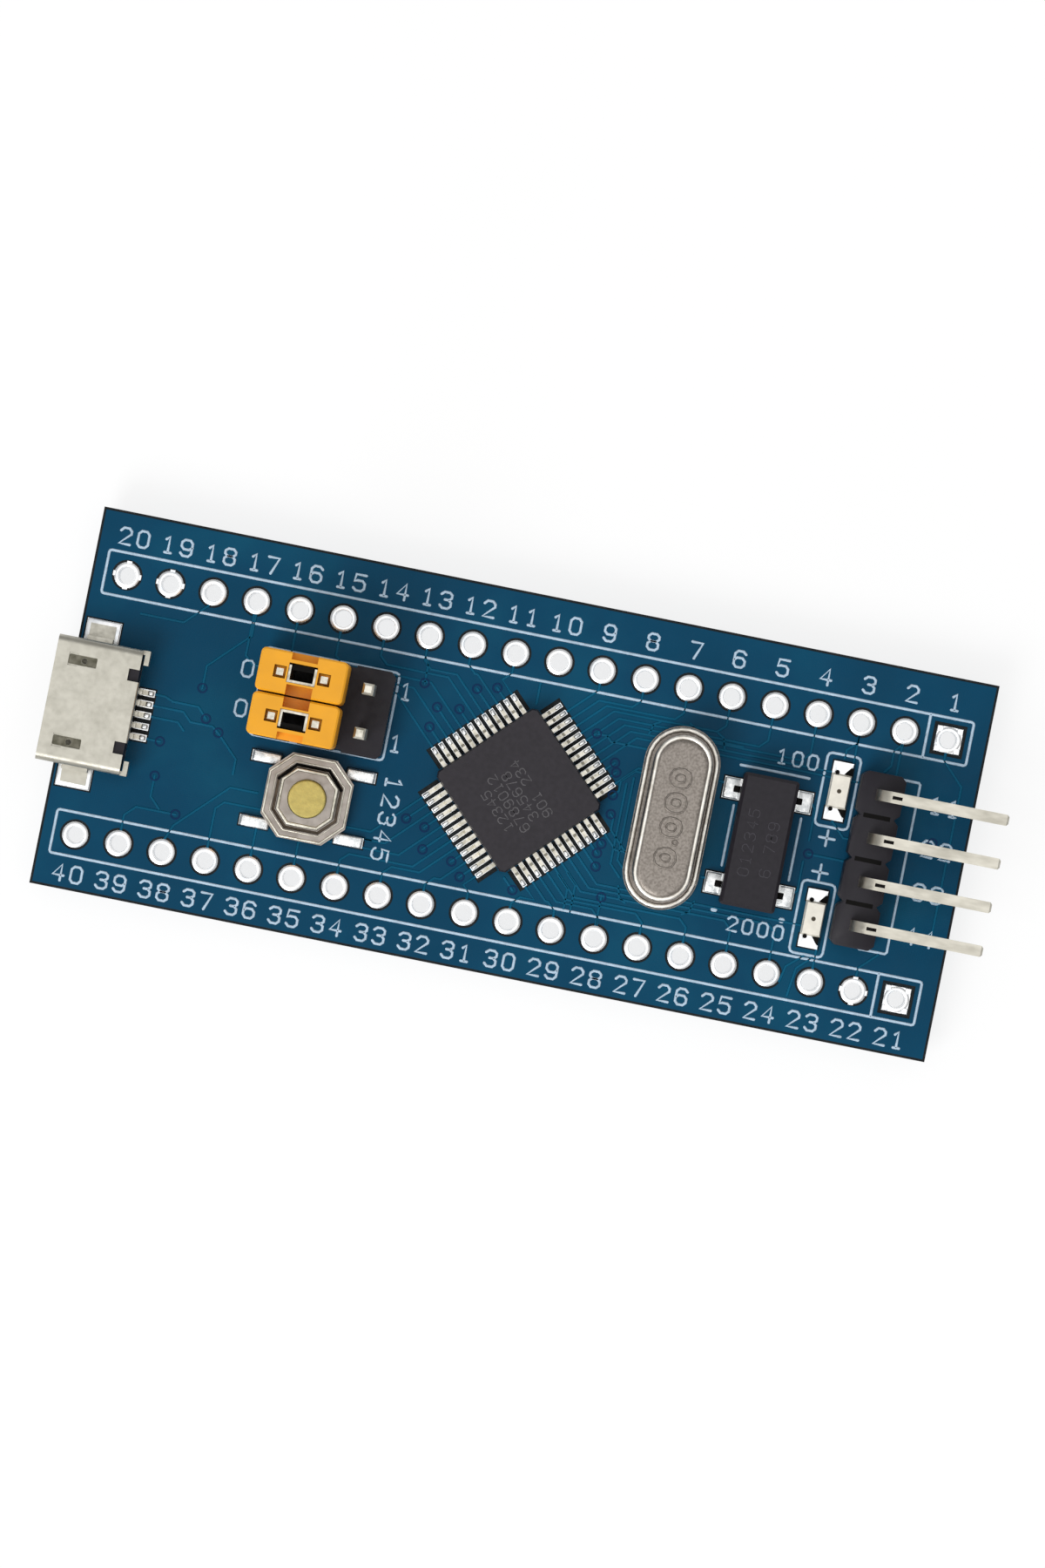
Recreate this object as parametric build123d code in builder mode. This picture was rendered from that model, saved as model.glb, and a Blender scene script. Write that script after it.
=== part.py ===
from build123d import *
import os

# Small microcontroller board, in millimetres. The origin is the centre of the two header
# rows on the underside of the laminate. +X runs towards the debug header, +Z is up.

# ---- board ----
board_length = 52.6
board_width = 22.1
board_thickness = 1.6
board_center_x = 0.12
board_center_y = 0.2
land_thickness = 0.05  # tinned copper standing proud of the laminate
seat = board_thickness + land_thickness  # what the parts on top stand on
joint_clearance = 0.02  # between pieces that are pushed together

# ---- header holes ----
pin_pitch = 2.54
holes_per_row = 20
row_spacing = 15.24
header_hole_radius = 0.5
header_ring_diameter = 1.5

# ---- square header pins ----
pin_width = 0.64
pin_hole_radius = 0.55
tail_length = 1.4  # below the board
pin_chamfer = 0.12
block_height = 2.54
block_corner = 0.55
solder_ring_radius = 0.85
solder_cone_height = 0.9
solder_tip_ratio = 0.62  # radius of the cone's tip, as a share of the pin's width

# ---- USB inlet ----
usb_front = -27.1
usb_length = 4.9
usb_center_y = -0.1
usb_width = 7.3
usb_height = 2.5
usb_wall = 0.25
usb_side_height = 1.6  # the upright part of each side, above the slanting corner
usb_corner_slant = 0.9
usb_corner_radius = 0.4
usb_slot_length = 1.65
usb_slot_width = 0.6
usb_slot_depth = 0.15
usb_slot_offset = 2.36
usb_latch_hole_radius = 0.17
usb_notch_length = 0.6
usb_notch_width = 0.7
usb_notch_offset = 2.12
usb_ear_width = 0.85
usb_ear_gap = 0.12
usb_ear_thickness = 0.28
usb_slot_center = 1.6  # from the mouth, as are the next two
usb_slot_head_center = 1.05
usb_latch_hole_center = 1.7
usb_slot_head_length = 0.55
usb_slot_head_width = 0.76
usb_flap_thickness = 0.12
usb_flap_drop = 0.75
usb_flap_bend = 0.1
usb_ear_height = 1.1
usb_ear_lift = 0.15  # above the middle of the shell
usb_tab_offset = 2.25  # from the mouth to the middle of each foot
usb_tab_length = 1.5
usb_tab_reach = 1.0
usb_tab_rise = 0.4  # of each foot's upright, above where the slanting corner ends
usb_tab_land_margin = 0.25
usb_contacts = 5
usb_contact_pitch = 0.65
usb_contact_width = 0.3
usb_contact_thickness = 0.15
usb_contact_gap = 0.15  # between the insulator and the uprights
usb_contact_margin = 0.4  # bare insulator at the tongue's tip
usb_foot_length = 0.65
usb_block_length = 1.0
usb_tongue_length = 3.0
usb_tongue_width = 3.7
usb_tongue_thickness = 0.65
usb_tongue_gap = 0.3  # below the roof
small_land_margin = 0.05  # land that shows round a small lead

# ---- boot selector header ----
boot_center_x = -11.55
boot_center_y = 2.57
boot_columns = 3
boot_rows = 2
boot_pin_height = 5.8  # above the block

# ---- jumper caps ----
cap_length = 5.0
cap_width = 2.44
cap_height = 6.0
cap_roof = 1.0
cap_edge = 0.3
cap_window_length = 1.64
cap_window_front = 0.61
cap_pin_clearance = 0.03  # round each pin, in its window in the roof
cap_top_chamfer = 0.1
grip_length = 1.5
grip_height = 1.6
grip_depth_clip_side = 0.6
grip_depth_open_side = 0.42
clip_thickness = 0.14
clip_height = 4.3
clip_reach = 0.85
clip_pin_gap = 0.03
clip_side_gap = 0.1  # between the clip and the ends of its cavity
clip_lift = 0.4  # above the cap's mouth
clip_recess = 0.25  # below the cap's top
clip_bulge_height = 1.4
cap_lift = 0.1  # the cap's mouth stands this far above the block

# ---- debug header ----
debug_x = 20.85
debug_center_y = -0.1
debug_pins = 4
debug_pin_end = 28.2
debug_bend_radius = 0.75
debug_rise = 0.25  # straight pin between the block and the bend

# ---- reset switch ----
reset_x = -11.4
reset_y = -2.97
reset_cover_width = 4.95
reset_corner = 1.17
reset_height = 1.15
reset_rim_height = 0.95
reset_moat_width = 0.25
reset_plate_width = 3.4
reset_moat_depth = 0.25
reset_sheet = 0.15
reset_base_inset = 0.12
reset_plate_chamfer = 0.1
reset_pocket_radius = 1.65
reset_floor = 0.12
reset_button_radius = 1.08
reset_button_top = 1.5
reset_button_flange = 0.25
reset_button_clearance = 0.05
reset_button_round = 0.12
reset_contact_thickness = 0.08
reset_contact_radius = 0.45
reset_ring_width = 0.4
reset_dome_height = 0.3
reset_dome_clearance = 0.1  # inside the pocket's wall
reset_lead_length = 1.65
reset_lead_width = 0.6
reset_lead_thickness = 0.15
reset_lead_offset = 1.9
reset_lead_tuck = 0.5  # the part of each lead under the cover

# ---- microcontroller ----
chip_x = 0.43
chip_y = -0.1
chip_turn = 45
chip_width = 7.0
chip_height = 1.4
chip_standoff = 0.1
chip_draft = 8
chip_corner = 0.25
lead_pitch = 0.5
leads_per_side = 12
lead_width = 0.22
lead_thickness = 0.12
lead_span = 9.0
lead_foot = 0.6
lead_shoulder = 0.35
chip_land_width = 0.28
chip_land_length = 1.4
chip_land_overhang = 0.3  # past the tips of the leads
die_width = 3.2
die_thickness = 0.3
paddle_width = 4.2
paddle_thickness = 0.13

# ---- main crystal ----
crystal_x = 9.37
crystal_y = 0.08
crystal_base_length = 10.7
crystal_base_width = 4.4
crystal_base_thickness = 0.3
crystal_flange_thickness = 0.22
crystal_can_length = 9.5
crystal_can_width = 3.4
crystal_height = 3.5
crystal_wall = 0.2
crystal_top_radius = 0.45
crystal_leg_spacing = 4.88
crystal_leg_radius = 0.22
crystal_leg_tail = 1.0
crystal_hole_radius = 0.4
crystal_bead_radius = 0.6
quartz_length = 6.4
quartz_height = 1.7
quartz_thickness = 0.2
quartz_lift = 0.4
crystal_flange_inset = 0.05
crystal_flange_round = 0.1
crystal_leg_rise = 0.15  # inside the can
spring_width = 0.5
spring_thickness = 0.12
spring_end_gap = 0.3  # past each end of the quartz
quartz_grip_length = 1.0
quartz_grip_height = 0.5

# ---- clock crystal ----
clock_x = 14.55
clock_y = -0.32
clock_length = 7.7
clock_width = 3.2
clock_height = 2.5
clock_standoff = 0.1
clock_corner = 0.2
clock_chamfer = 0.18
clock_prong_thickness = 0.12
clock_prong_height = 1.0
clock_lead_spacing = 5.55
clock_lead_width = 1.25
clock_lead_reach = 1.0
clock_lead_thickness = 0.15
clock_lead_notch = 0.4

# ---- indicator lamps ----
lamp_x = 18.5
power_lamp_y = 3.48
user_lamp_y = -4.0
lamp_length = 2.0
lamp_width = 1.15
lamp_base_thickness = 0.3
lamp_lens_height = 0.5
lamp_lens_draft = 6
lamp_lens_inset = 0.02
lamp_lens_end_inset = 0.05
lamp_end_length = 0.7
lamp_neck_width = 0.45

# ---- underside parts ----
regulator_x = -19.3
regulator_y = 1.2
regulator_width = 1.6
regulator_length = 2.9
regulator_height = 1.05
regulator_standoff = 0.08
regulator_lead_pitch = 0.95
regulator_span = 2.8
regulator_lead_width = 0.4
regulator_lead_thickness = 0.15
regulator_foot = 0.35
chip_part_length = 1.6
chip_part_width = 0.8
capacitor_height = 0.8
resistor_height = 0.45
end_cap_length = 0.3
chip_part_land = 0.5

# where the small underside parts lie: x, y and the turn of each one's long side
capacitor_places = [
    (-22.6, 3.4, 90), (-22.6, -1.2, 90), (-15.9, 3.2, 90), (-16.6, -3.2, 0),
    (-4.6, 4.4, 0), (-4.9, -1.6, 90), (-2.0, -4.6, 0), (1.2, 4.6, 0), (1.6, -4.6, 0),
    (5.2, 2.6, 90), (5.2, -1.8, 90), (12.4, 3.6, 0), (12.4, -3.6, 0), (16.6, 1.6, 90),
]
resistor_places = [
    (-6.8, 1.6, 90), (-6.8, -1.8, 90), (-12.8, -2.2, 0), (-9.9, -4.6, 0),
    (4.9, -4.9, 0), (9.4, 0.0, 0), (14.6, -0.6, 90), (17.9, -3.4, 90), (17.9, 4.4, 0),
]

# ---- places worked out from the sizes above ----
row_end_x = (holes_per_row - 1) / 2 * pin_pitch
header_points = [
    (-row_end_x + column * pin_pitch, side * row_spacing / 2)
    for side in (1, -1)
    for column in range(holes_per_row)
]
square_points = [point for point in header_points if point[0] > row_end_x - pin_pitch / 2]
round_points = [point for point in header_points if point not in square_points]

boot_points = [
    (
        boot_center_x + (column - (boot_columns - 1) / 2) * pin_pitch,
        boot_center_y + (row - (boot_rows - 1) / 2) * pin_pitch,
    )
    for column in range(boot_columns)
    for row in range(boot_rows)
]
debug_points = [
    (debug_x, debug_center_y + (row - (debug_pins - 1) / 2) * pin_pitch)
    for row in range(debug_pins)
]
crystal_leg_points = [
    (crystal_x, crystal_y + side * crystal_leg_spacing / 2) for side in (1, -1)
]
block_top = seat + block_height
usb_back = usb_front + usb_length
usb_contact_y = [
    usb_center_y + (number - (usb_contacts - 1) / 2) * usb_contact_pitch
    for number in range(usb_contacts)
]
usb_blade_z = (
    seat + usb_height - usb_wall - usb_tongue_gap - usb_tongue_thickness - usb_contact_thickness
)
usb_blade_back = usb_back + usb_contact_gap + usb_contact_thickness
usb_foot_tip = usb_blade_back + usb_foot_length
usb_tab_x = usb_front + usb_tab_offset
usb_tab_y = usb_width / 2 + usb_tab_reach / 2
reset_lead_points = [
    (
        reset_x + side * (reset_cover_width / 2 + reset_lead_length / 2 - reset_lead_tuck),
        reset_y + end * reset_lead_offset,
    )
    for side in (1, -1)
    for end in (1, -1)
]
clock_lead_points = [
    (side, clock_y + end * clock_lead_spacing / 2) for side in (1, -1) for end in (1, -1)
]
clock_lead_x = clock_width / 2 + clock_lead_reach / 2
lamp_end_points = [
    (lamp_x, lamp_y + side * (lamp_length + lamp_end_length) / 2, side)
    for lamp_y in (power_lamp_y, user_lamp_y)
    for side in (1, -1)
]
regulator_lead_points = [
    (regulator_x + side * regulator_span / 2, regulator_y + row * regulator_lead_pitch, side)
    for side, row in ((-1, -1), (-1, 0), (-1, 1), (1, -1), (1, 1))
]

# the middle of the chip turned so that +X points out along each lead
chip_lead_places = [
    Location((chip_x, chip_y, 0), (0, 0, chip_turn + side * 90))
    * Location((0, (number - (leads_per_side - 1) / 2) * lead_pitch, 0))
    for side in range(4)
    for number in range(leads_per_side)
]


def finish(piece, name):
    """Label a finished piece and write it out."""
    piece.part.label = name
    export_step(piece.part, f"parts/{name}.step")


def part_places(places, z):
    """Locations of the small underside parts, at height z."""
    return [Location((x, y, z), (0, 0, turn)) for x, y, turn in places]


hanging = (Align.CENTER, Align.CENTER, Align.MAX)
standing = (Align.CENTER, Align.CENTER, Align.MIN)
os.makedirs("parts", exist_ok=True)


# ---- circuit board, its rings and its lands ----
with BuildPart() as circuit_board:
    with BuildSketch(Plane.XY):
        with Locations((board_center_x, board_center_y)):
            Rectangle(board_length, board_width)
        with Locations(*header_points):
            Circle(header_hole_radius, mode=Mode.SUBTRACT)
        with Locations(*boot_points, *debug_points):
            Circle(pin_hole_radius, mode=Mode.SUBTRACT)
        with Locations(*crystal_leg_points):
            Circle(crystal_hole_radius, mode=Mode.SUBTRACT)
    extrude(amount=board_thickness)
finish(circuit_board, "circuit_board")

# a tinned ring on each face of the board round every hole
with BuildPart() as header_hole_pads:
    for pad_z in (-land_thickness, board_thickness):
        with BuildSketch(Plane.XY.offset(pad_z)):
            with Locations(*round_points):
                Circle(header_ring_diameter / 2)
            with Locations(*square_points):
                Rectangle(header_ring_diameter, header_ring_diameter)
            with Locations(*header_points):
                Circle(header_hole_radius, mode=Mode.SUBTRACT)
        extrude(amount=land_thickness)
finish(header_hole_pads, "header_hole_pads")

with BuildPart() as top_lands:
    with BuildSketch(Plane.XY.offset(board_thickness)):
        with Locations(*[
            (usb_tab_x, usb_center_y + side * usb_tab_y) for side in (1, -1)
        ]):
            Rectangle(
                usb_tab_length + 2 * usb_tab_land_margin, usb_tab_reach + 2 * usb_tab_land_margin
            )
        foot_middle_x = (usb_back + usb_contact_gap + usb_foot_tip) / 2
        with Locations(*[(foot_middle_x, y) for y in usb_contact_y]):
            Rectangle(
                usb_foot_tip - usb_back - usb_contact_gap + 2 * small_land_margin,
                usb_contact_width + 2 * small_land_margin,
            )
        with Locations(*reset_lead_points):
            Rectangle(reset_lead_length, reset_lead_width)
        with Locations(*[(clock_x + side * clock_lead_x, y) for side, y in clock_lead_points]):
            Rectangle(clock_lead_reach, clock_lead_width)
        with Locations(*[(x, y) for x, y, _ in lamp_end_points]):
            Rectangle(lamp_width, lamp_end_length)
        chip_land_x = lead_span / 2 + chip_land_overhang - chip_land_length / 2
        with Locations(*[place * Location((chip_land_x, 0, 0)) for place in chip_lead_places]):
            Rectangle(chip_land_length, chip_land_width)
    extrude(amount=land_thickness)
finish(top_lands, "top_lands")

with BuildPart() as underside_lands:
    with BuildSketch(Plane.XY.offset(-land_thickness)):
        for end in (1, -1):
            land_x = end * chip_part_length / 2
            with Locations(*[
                place * Location((land_x, 0, 0))
                for place in part_places(capacitor_places + resistor_places, 0)
            ]):
                Rectangle(chip_part_land, chip_part_width)
        with Locations(*[(x, y) for x, y, _ in regulator_lead_points]):
            Rectangle(2 * regulator_foot, regulator_lead_width + 2 * small_land_margin)
    extrude(amount=land_thickness)
finish(underside_lands, "underside_lands")


# ---- USB inlet ----
usb_half = usb_width / 2
usb_slant_z = usb_height - usb_side_height
with BuildPart() as usb_shell:
    mouth_plane = Plane((usb_front, usb_center_y, seat), x_dir=(0, 1, 0), z_dir=(1, 0, 0))
    with BuildSketch(mouth_plane) as usb_mouth:
        with BuildLine():
            Polyline(
                (-usb_half, usb_height), (usb_half, usb_height), (usb_half, usb_slant_z),
                (usb_half - usb_corner_slant, 0), (usb_corner_slant - usb_half, 0),
                (-usb_half, usb_slant_z), close=True,
            )
        make_face()
        fillet(usb_mouth.vertices(), radius=usb_corner_radius)
        offset(amount=-usb_wall, mode=Mode.SUBTRACT)
    extrude(amount=usb_length)
    usb_top = seat + usb_height
    # two latch windows pressed into the roof, each with a small hole
    with BuildSketch(Plane.XY.offset(usb_top)):
        for side in (1, -1):
            slot_y = usb_center_y + side * usb_slot_offset
            with Locations((usb_front + usb_slot_center, slot_y)):
                Rectangle(usb_slot_length, usb_slot_width)
            with Locations((usb_front + usb_slot_head_center, slot_y)):
                Rectangle(usb_slot_head_length, usb_slot_head_width)
    extrude(amount=-usb_slot_depth, mode=Mode.SUBTRACT)
    with Locations(*[
        (usb_front + usb_latch_hole_center, usb_center_y + side * usb_slot_offset, usb_top)
        for side in (1, -1)
    ]):
        Hole(usb_latch_hole_radius, depth=2 * usb_wall)
    # notches in the back edge of the roof
    with Locations(*[
        (usb_back - usb_notch_length / 2, usb_center_y + side * usb_notch_offset, usb_top)
        for side in (1, -1)
    ]):
        Box(usb_notch_length, usb_notch_width, 4 * usb_wall, mode=Mode.SUBTRACT)
    # the roof's middle flap, folded down behind the insulator
    usb_flap_width = 2 * usb_notch_offset - usb_notch_width
    with Locations((usb_back, usb_center_y, usb_top)):
        Box(
            usb_flap_thickness, usb_flap_width, usb_flap_drop,
            align=(Align.MIN, Align.CENTER, Align.MAX),
        )
    flap_edge = usb_shell.edges().filter_by(Axis.Y).group_by(Axis.Z)[-1].sort_by(Axis.X)[-1]
    fillet(flap_edge, radius=usb_flap_bend)
    # an ear at the back of each side, folded inwards
    for side in (1, -1):
        ear_end_y = usb_center_y + side * (usb_half - usb_ear_width / 2)
        ear_x = usb_back + usb_ear_gap + usb_ear_thickness / 2
        ear_z = seat + usb_height / 2 + usb_ear_lift
        with Locations((ear_x, ear_end_y, ear_z)):
            Box(usb_ear_thickness, usb_ear_width, usb_ear_height)
        link_y = usb_center_y + side * (usb_half - usb_wall / 2)
        with Locations((usb_back, link_y, ear_z)):
            Box(2 * usb_ear_gap + usb_ear_thickness, usb_wall, usb_ear_height)
    # a foot on each side for soldering
    for side in (1, -1):
        with Locations((usb_tab_x, usb_center_y + side * usb_tab_y, seat)):
            Box(usb_tab_length, usb_tab_reach, usb_wall, align=standing)
        with Locations((usb_tab_x, usb_center_y + side * (usb_half + usb_wall / 2), seat)):
            Box(usb_tab_length, usb_wall, usb_slant_z + usb_tab_rise, align=standing)
finish(usb_shell, "usb_shell")

with BuildPart() as usb_insulator:
    block_origin = (usb_back - usb_block_length, usb_center_y, seat)
    with BuildSketch(Plane(block_origin, x_dir=(0, 1, 0), z_dir=(1, 0, 0))) as block_face:
        with BuildLine():
            Polyline(
                (-usb_half, usb_height), (usb_half, usb_height), (usb_half, usb_slant_z),
                (usb_half - usb_corner_slant, 0), (usb_corner_slant - usb_half, 0),
                (-usb_half, usb_slant_z), close=True,
            )
        make_face()
        fillet(block_face.vertices(), radius=usb_corner_radius)
        offset(amount=-usb_wall - joint_clearance, mode=Mode.REPLACE)
    extrude(amount=usb_block_length)
    tongue_z = usb_blade_z + usb_contact_thickness
    with Locations((usb_back - usb_block_length, usb_center_y, tongue_z)):
        Box(
            usb_tongue_length, usb_tongue_width, usb_tongue_thickness,
            align=(Align.MAX, Align.CENTER, Align.MIN),
        )
    for y in usb_contact_y:
        with Locations((usb_back, y, usb_blade_z)):
            Box(
                usb_block_length, usb_contact_width, usb_contact_thickness,
                align=(Align.MAX, Align.CENTER, Align.MIN), mode=Mode.SUBTRACT,
            )
finish(usb_insulator, "usb_insulator")

with BuildPart() as usb_contact_springs:
    blade_tip = usb_back - usb_block_length - usb_tongue_length + usb_contact_margin
    blade_top = usb_blade_z + usb_contact_thickness
    inner_x = usb_blade_back - usb_contact_thickness
    for y in usb_contact_y:
        with BuildSketch(Plane.XZ.offset(-y)):
            with BuildLine():
                Polyline(
                    (blade_tip, blade_top), (usb_blade_back, blade_top),
                    (usb_blade_back, seat + usb_contact_thickness),
                    (usb_foot_tip, seat + usb_contact_thickness), (usb_foot_tip, seat),
                    (inner_x, seat),
                    (inner_x, usb_blade_z), (blade_tip, usb_blade_z), close=True,
                )
            make_face()
        extrude(amount=usb_contact_width / 2, both=True)
finish(usb_contact_springs, "usb_contact_springs")


def solder_joint_solids(points, pin_size, hole_radius):
    """Solder that fills the plated holes round square or round pins, with a cone below."""
    with Locations(*[(x, y, 0) for x, y in points]):
        Cylinder(hole_radius, board_thickness, align=standing)
        Cone(
            pin_size * solder_tip_ratio, solder_ring_radius, solder_cone_height, align=hanging
        )
    with Locations(*[(x, y, board_thickness) for x, y in points]):
        Cylinder(solder_ring_radius, land_thickness, align=standing)


def through_box(points):
    """Cut the square pin's own space out of the solder."""
    with Locations(*[(x, y, 0) for x, y in points]):
        Box(pin_width, pin_width, 4 * board_thickness, mode=Mode.SUBTRACT)


# ---- boot selector header ----
boot_length = boot_columns * pin_pitch
boot_width = boot_rows * pin_pitch
with BuildPart() as boot_header_block:
    with BuildSketch(Plane.XY.offset(seat)) as boot_outline:
        with Locations((boot_center_x, boot_center_y)):
            Rectangle(boot_length, boot_width)
        chamfer(boot_outline.vertices(), length=block_corner / 2)
        with Locations(*boot_points):
            Rectangle(pin_width, pin_width, mode=Mode.SUBTRACT)
    extrude(amount=block_height)
    # shallow grooves where the strip could be snapped apart
    for side in (1, -1):
        with Locations(*[
            (
                boot_center_x + (column - boot_columns / 2 + 1) * pin_pitch,
                boot_center_y + side * boot_width / 2, seat + block_height / 2,
            )
            for column in range(boot_columns - 1)
        ]):
            Box(block_corner, block_corner / 2, 2 * block_height, mode=Mode.SUBTRACT)
finish(boot_header_block, "boot_header_block")

with BuildPart() as boot_header_pins:
    with BuildSketch(Plane.XY.offset(-tail_length)):
        with Locations(*boot_points):
            Rectangle(pin_width, pin_width)
    extrude(amount=tail_length + block_top + boot_pin_height)
    pin_ends = boot_header_pins.faces().filter_by(Axis.Z)
    chamfer(pin_ends.edges(), length=pin_chamfer)
finish(boot_header_pins, "boot_header_pins")

with BuildPart() as boot_header_solder:
    solder_joint_solids(boot_points, pin_width, pin_hole_radius)
    through_box(boot_points)
finish(boot_header_solder, "boot_header_solder")

# ---- jumper caps, each over the two left pins of its row ----
cap_x = boot_center_x - pin_pitch / 2
cap_bottom = block_top + cap_lift
clip_back = pin_width / 2 + clip_pin_gap  # inner face of the clip's back, from the pin row
cap_cavity_length = pin_pitch + pin_width + 2 * (
    clip_pin_gap + clip_thickness + clip_side_gap
)
cavity_back = clip_back + clip_thickness + joint_clearance
cap_cavity_height = cap_height - cap_roof
cap_pin_window = pin_width + 2 * cap_pin_clearance
roof_cut = 2 * (cap_roof + joint_clearance)


def cap_cuts(row_y, side):
    """The clip's cavity, the windows in the roof and the two finger grips."""
    middle_y = row_y + side * (cap_window_front - cavity_back) / 2
    cavity_width = cap_window_front + cavity_back
    with Locations((cap_x, middle_y, cap_bottom)):
        Box(
            cap_cavity_length, cavity_width, cap_cavity_height,
            align=standing, mode=Mode.SUBTRACT,
        )
    with Locations((cap_x, middle_y, cap_bottom + cap_height)):
        Box(cap_window_length, cavity_width, roof_cut, mode=Mode.SUBTRACT)
    with Locations((cap_x, row_y, cap_bottom + cap_height)):
        with GridLocations(pin_pitch, 0, 2, 1):
            Box(cap_pin_window, cap_pin_window, roof_cut, mode=Mode.SUBTRACT)
    for face, depth in ((-side, grip_depth_clip_side), (side, grip_depth_open_side)):
        with Locations((cap_x, row_y + face * cap_width / 2, cap_bottom + cap_height)):
            Box(grip_length, 2 * depth, 2 * grip_height, mode=Mode.SUBTRACT)


def jumper_clip_at(row_y, side):
    """Folded metal strip: a back, two outer arms and two inner arms that grip the pins."""
    back_y = row_y - side * (clip_back + clip_thickness / 2)
    outer_x = pin_pitch / 2 + pin_width / 2 + clip_pin_gap + clip_thickness / 2
    inner_x = cap_window_length / 2 - joint_clearance - clip_thickness / 2
    floor_z = cap_bottom + clip_lift
    with Locations((cap_x, back_y, floor_z)):
        Box(2 * outer_x + clip_thickness, clip_thickness, clip_height, align=standing)
    arm_y = row_y + side * (clip_reach / 2 - clip_back)
    for offset_x in (-outer_x, outer_x):
        with Locations((cap_x + offset_x, arm_y, floor_z)):
            Box(clip_thickness, clip_reach, clip_height, align=standing)
    tall = cap_height - clip_lift - clip_recess
    with Locations((cap_x, back_y, floor_z)):
        Box(2 * inner_x + clip_thickness, clip_thickness, tall, align=standing)
    for offset_x in (-inner_x, inner_x):
        with Locations((cap_x + offset_x, arm_y, floor_z)):
            Box(clip_thickness, clip_reach, tall, align=standing)
        # the bulge that touches the pin
        bulge_end = pin_pitch / 2 - pin_width / 2 - clip_pin_gap
        bulge = bulge_end - inner_x
        toward = 1 if offset_x > 0 else -1
        with Locations((cap_x + toward * (inner_x + bulge / 2), row_y, floor_z + clip_height / 2)):
            Box(bulge, pin_width, clip_bulge_height)


upper_row = boot_center_y + pin_pitch / 2
lower_row = boot_center_y - pin_pitch / 2
for row_name, row_y, side in (("upper", upper_row, 1), ("lower", lower_row, -1)):
    with BuildPart() as jumper_cap:
        with Locations((cap_x, row_y, cap_bottom)):
            Box(cap_length, cap_width, cap_height, align=standing)
        fillet(jumper_cap.edges().filter_by(Axis.Z), radius=cap_edge)
        chamfer(jumper_cap.faces().sort_by(Axis.Z)[-1].edges(), length=cap_top_chamfer)
        cap_cuts(row_y, side)
    finish(jumper_cap, f"jumper_cap_{row_name}")

    with BuildPart() as jumper_clip:
        jumper_clip_at(row_y, side)
    finish(jumper_clip, f"jumper_clip_{row_name}")


# ---- debug header ----
with BuildPart() as debug_header_block:
    with BuildSketch(Plane.XY.offset(seat)):
        for x, y in debug_points:
            with BuildSketch(mode=Mode.PRIVATE) as cell:
                Rectangle(pin_pitch, pin_pitch)
                chamfer(cell.vertices(), length=block_corner)
            with Locations((x, y)):
                add(cell.sketch)
        with Locations(*debug_points):
            Rectangle(pin_width, pin_width, mode=Mode.SUBTRACT)
    extrude(amount=block_height)
finish(debug_header_block, "debug_header_block")

debug_bend_z = block_top + debug_rise
debug_run_z = debug_bend_z + debug_bend_radius
debug_run_length = debug_pin_end - debug_x
with BuildPart() as one_debug_pin:
    with BuildLine(Plane.XZ) as pin_path:
        Line((0, -tail_length), (0, debug_bend_z))
        TangentArc((0, debug_bend_z), (debug_bend_radius, debug_run_z), tangent=(0, 1))
        Line((debug_bend_radius, debug_run_z), (debug_run_length, debug_run_z))
    with BuildSketch(Plane.XY.offset(-tail_length)):
        Rectangle(pin_width, pin_width)
    sweep(path=pin_path.wires()[0])
    chamfer(one_debug_pin.faces().sort_by(Axis.X)[-1].edges(), length=pin_chamfer)

with BuildPart() as debug_header_pins:
    with Locations(*debug_points):
        add(one_debug_pin.part)
finish(debug_header_pins, "debug_header_pins")

with BuildPart() as debug_header_solder:
    solder_joint_solids(debug_points, pin_width, pin_hole_radius)
    through_box(debug_points)
finish(debug_header_solder, "debug_header_solder")


# ---- reset switch ----
def switch_octagon(width, corner):
    """Square with its corners cut, at the switch's centre."""
    with BuildSketch(mode=Mode.PRIVATE) as octagon:
        Rectangle(width, width)
        chamfer(octagon.vertices(), length=corner)
    with Locations((reset_x, reset_y)):
        add(octagon.sketch)


def octagon_corner(corner, growth):
    """The corner cut that goes with sides moved out by growth, so that the band stays even."""
    return corner + growth * (2 - 2**0.5)


reset_base_width = reset_cover_width - 2 * reset_base_inset - 2 * reset_sheet
reset_base_corner = octagon_corner(reset_corner, -reset_base_inset - reset_sheet)
reset_base_z = seat + reset_lead_thickness
reset_rim_z = seat + reset_rim_height
reset_plate_z = seat + reset_height
reset_moat_z = reset_rim_z - reset_moat_depth
reset_base_top = reset_moat_z - reset_sheet - joint_clearance
with BuildPart() as reset_switch_base:
    with BuildSketch(Plane.XY.offset(reset_base_z)):
        switch_octagon(reset_base_width, reset_base_corner)
    extrude(amount=reset_base_top - reset_base_z)
    with BuildSketch(Plane.XY.offset(reset_base_z + reset_floor)):
        with Locations((reset_x, reset_y)):
            Circle(reset_pocket_radius)
    extrude(amount=reset_base_top - reset_base_z, mode=Mode.SUBTRACT)
finish(reset_switch_base, "reset_switch_base")

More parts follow.
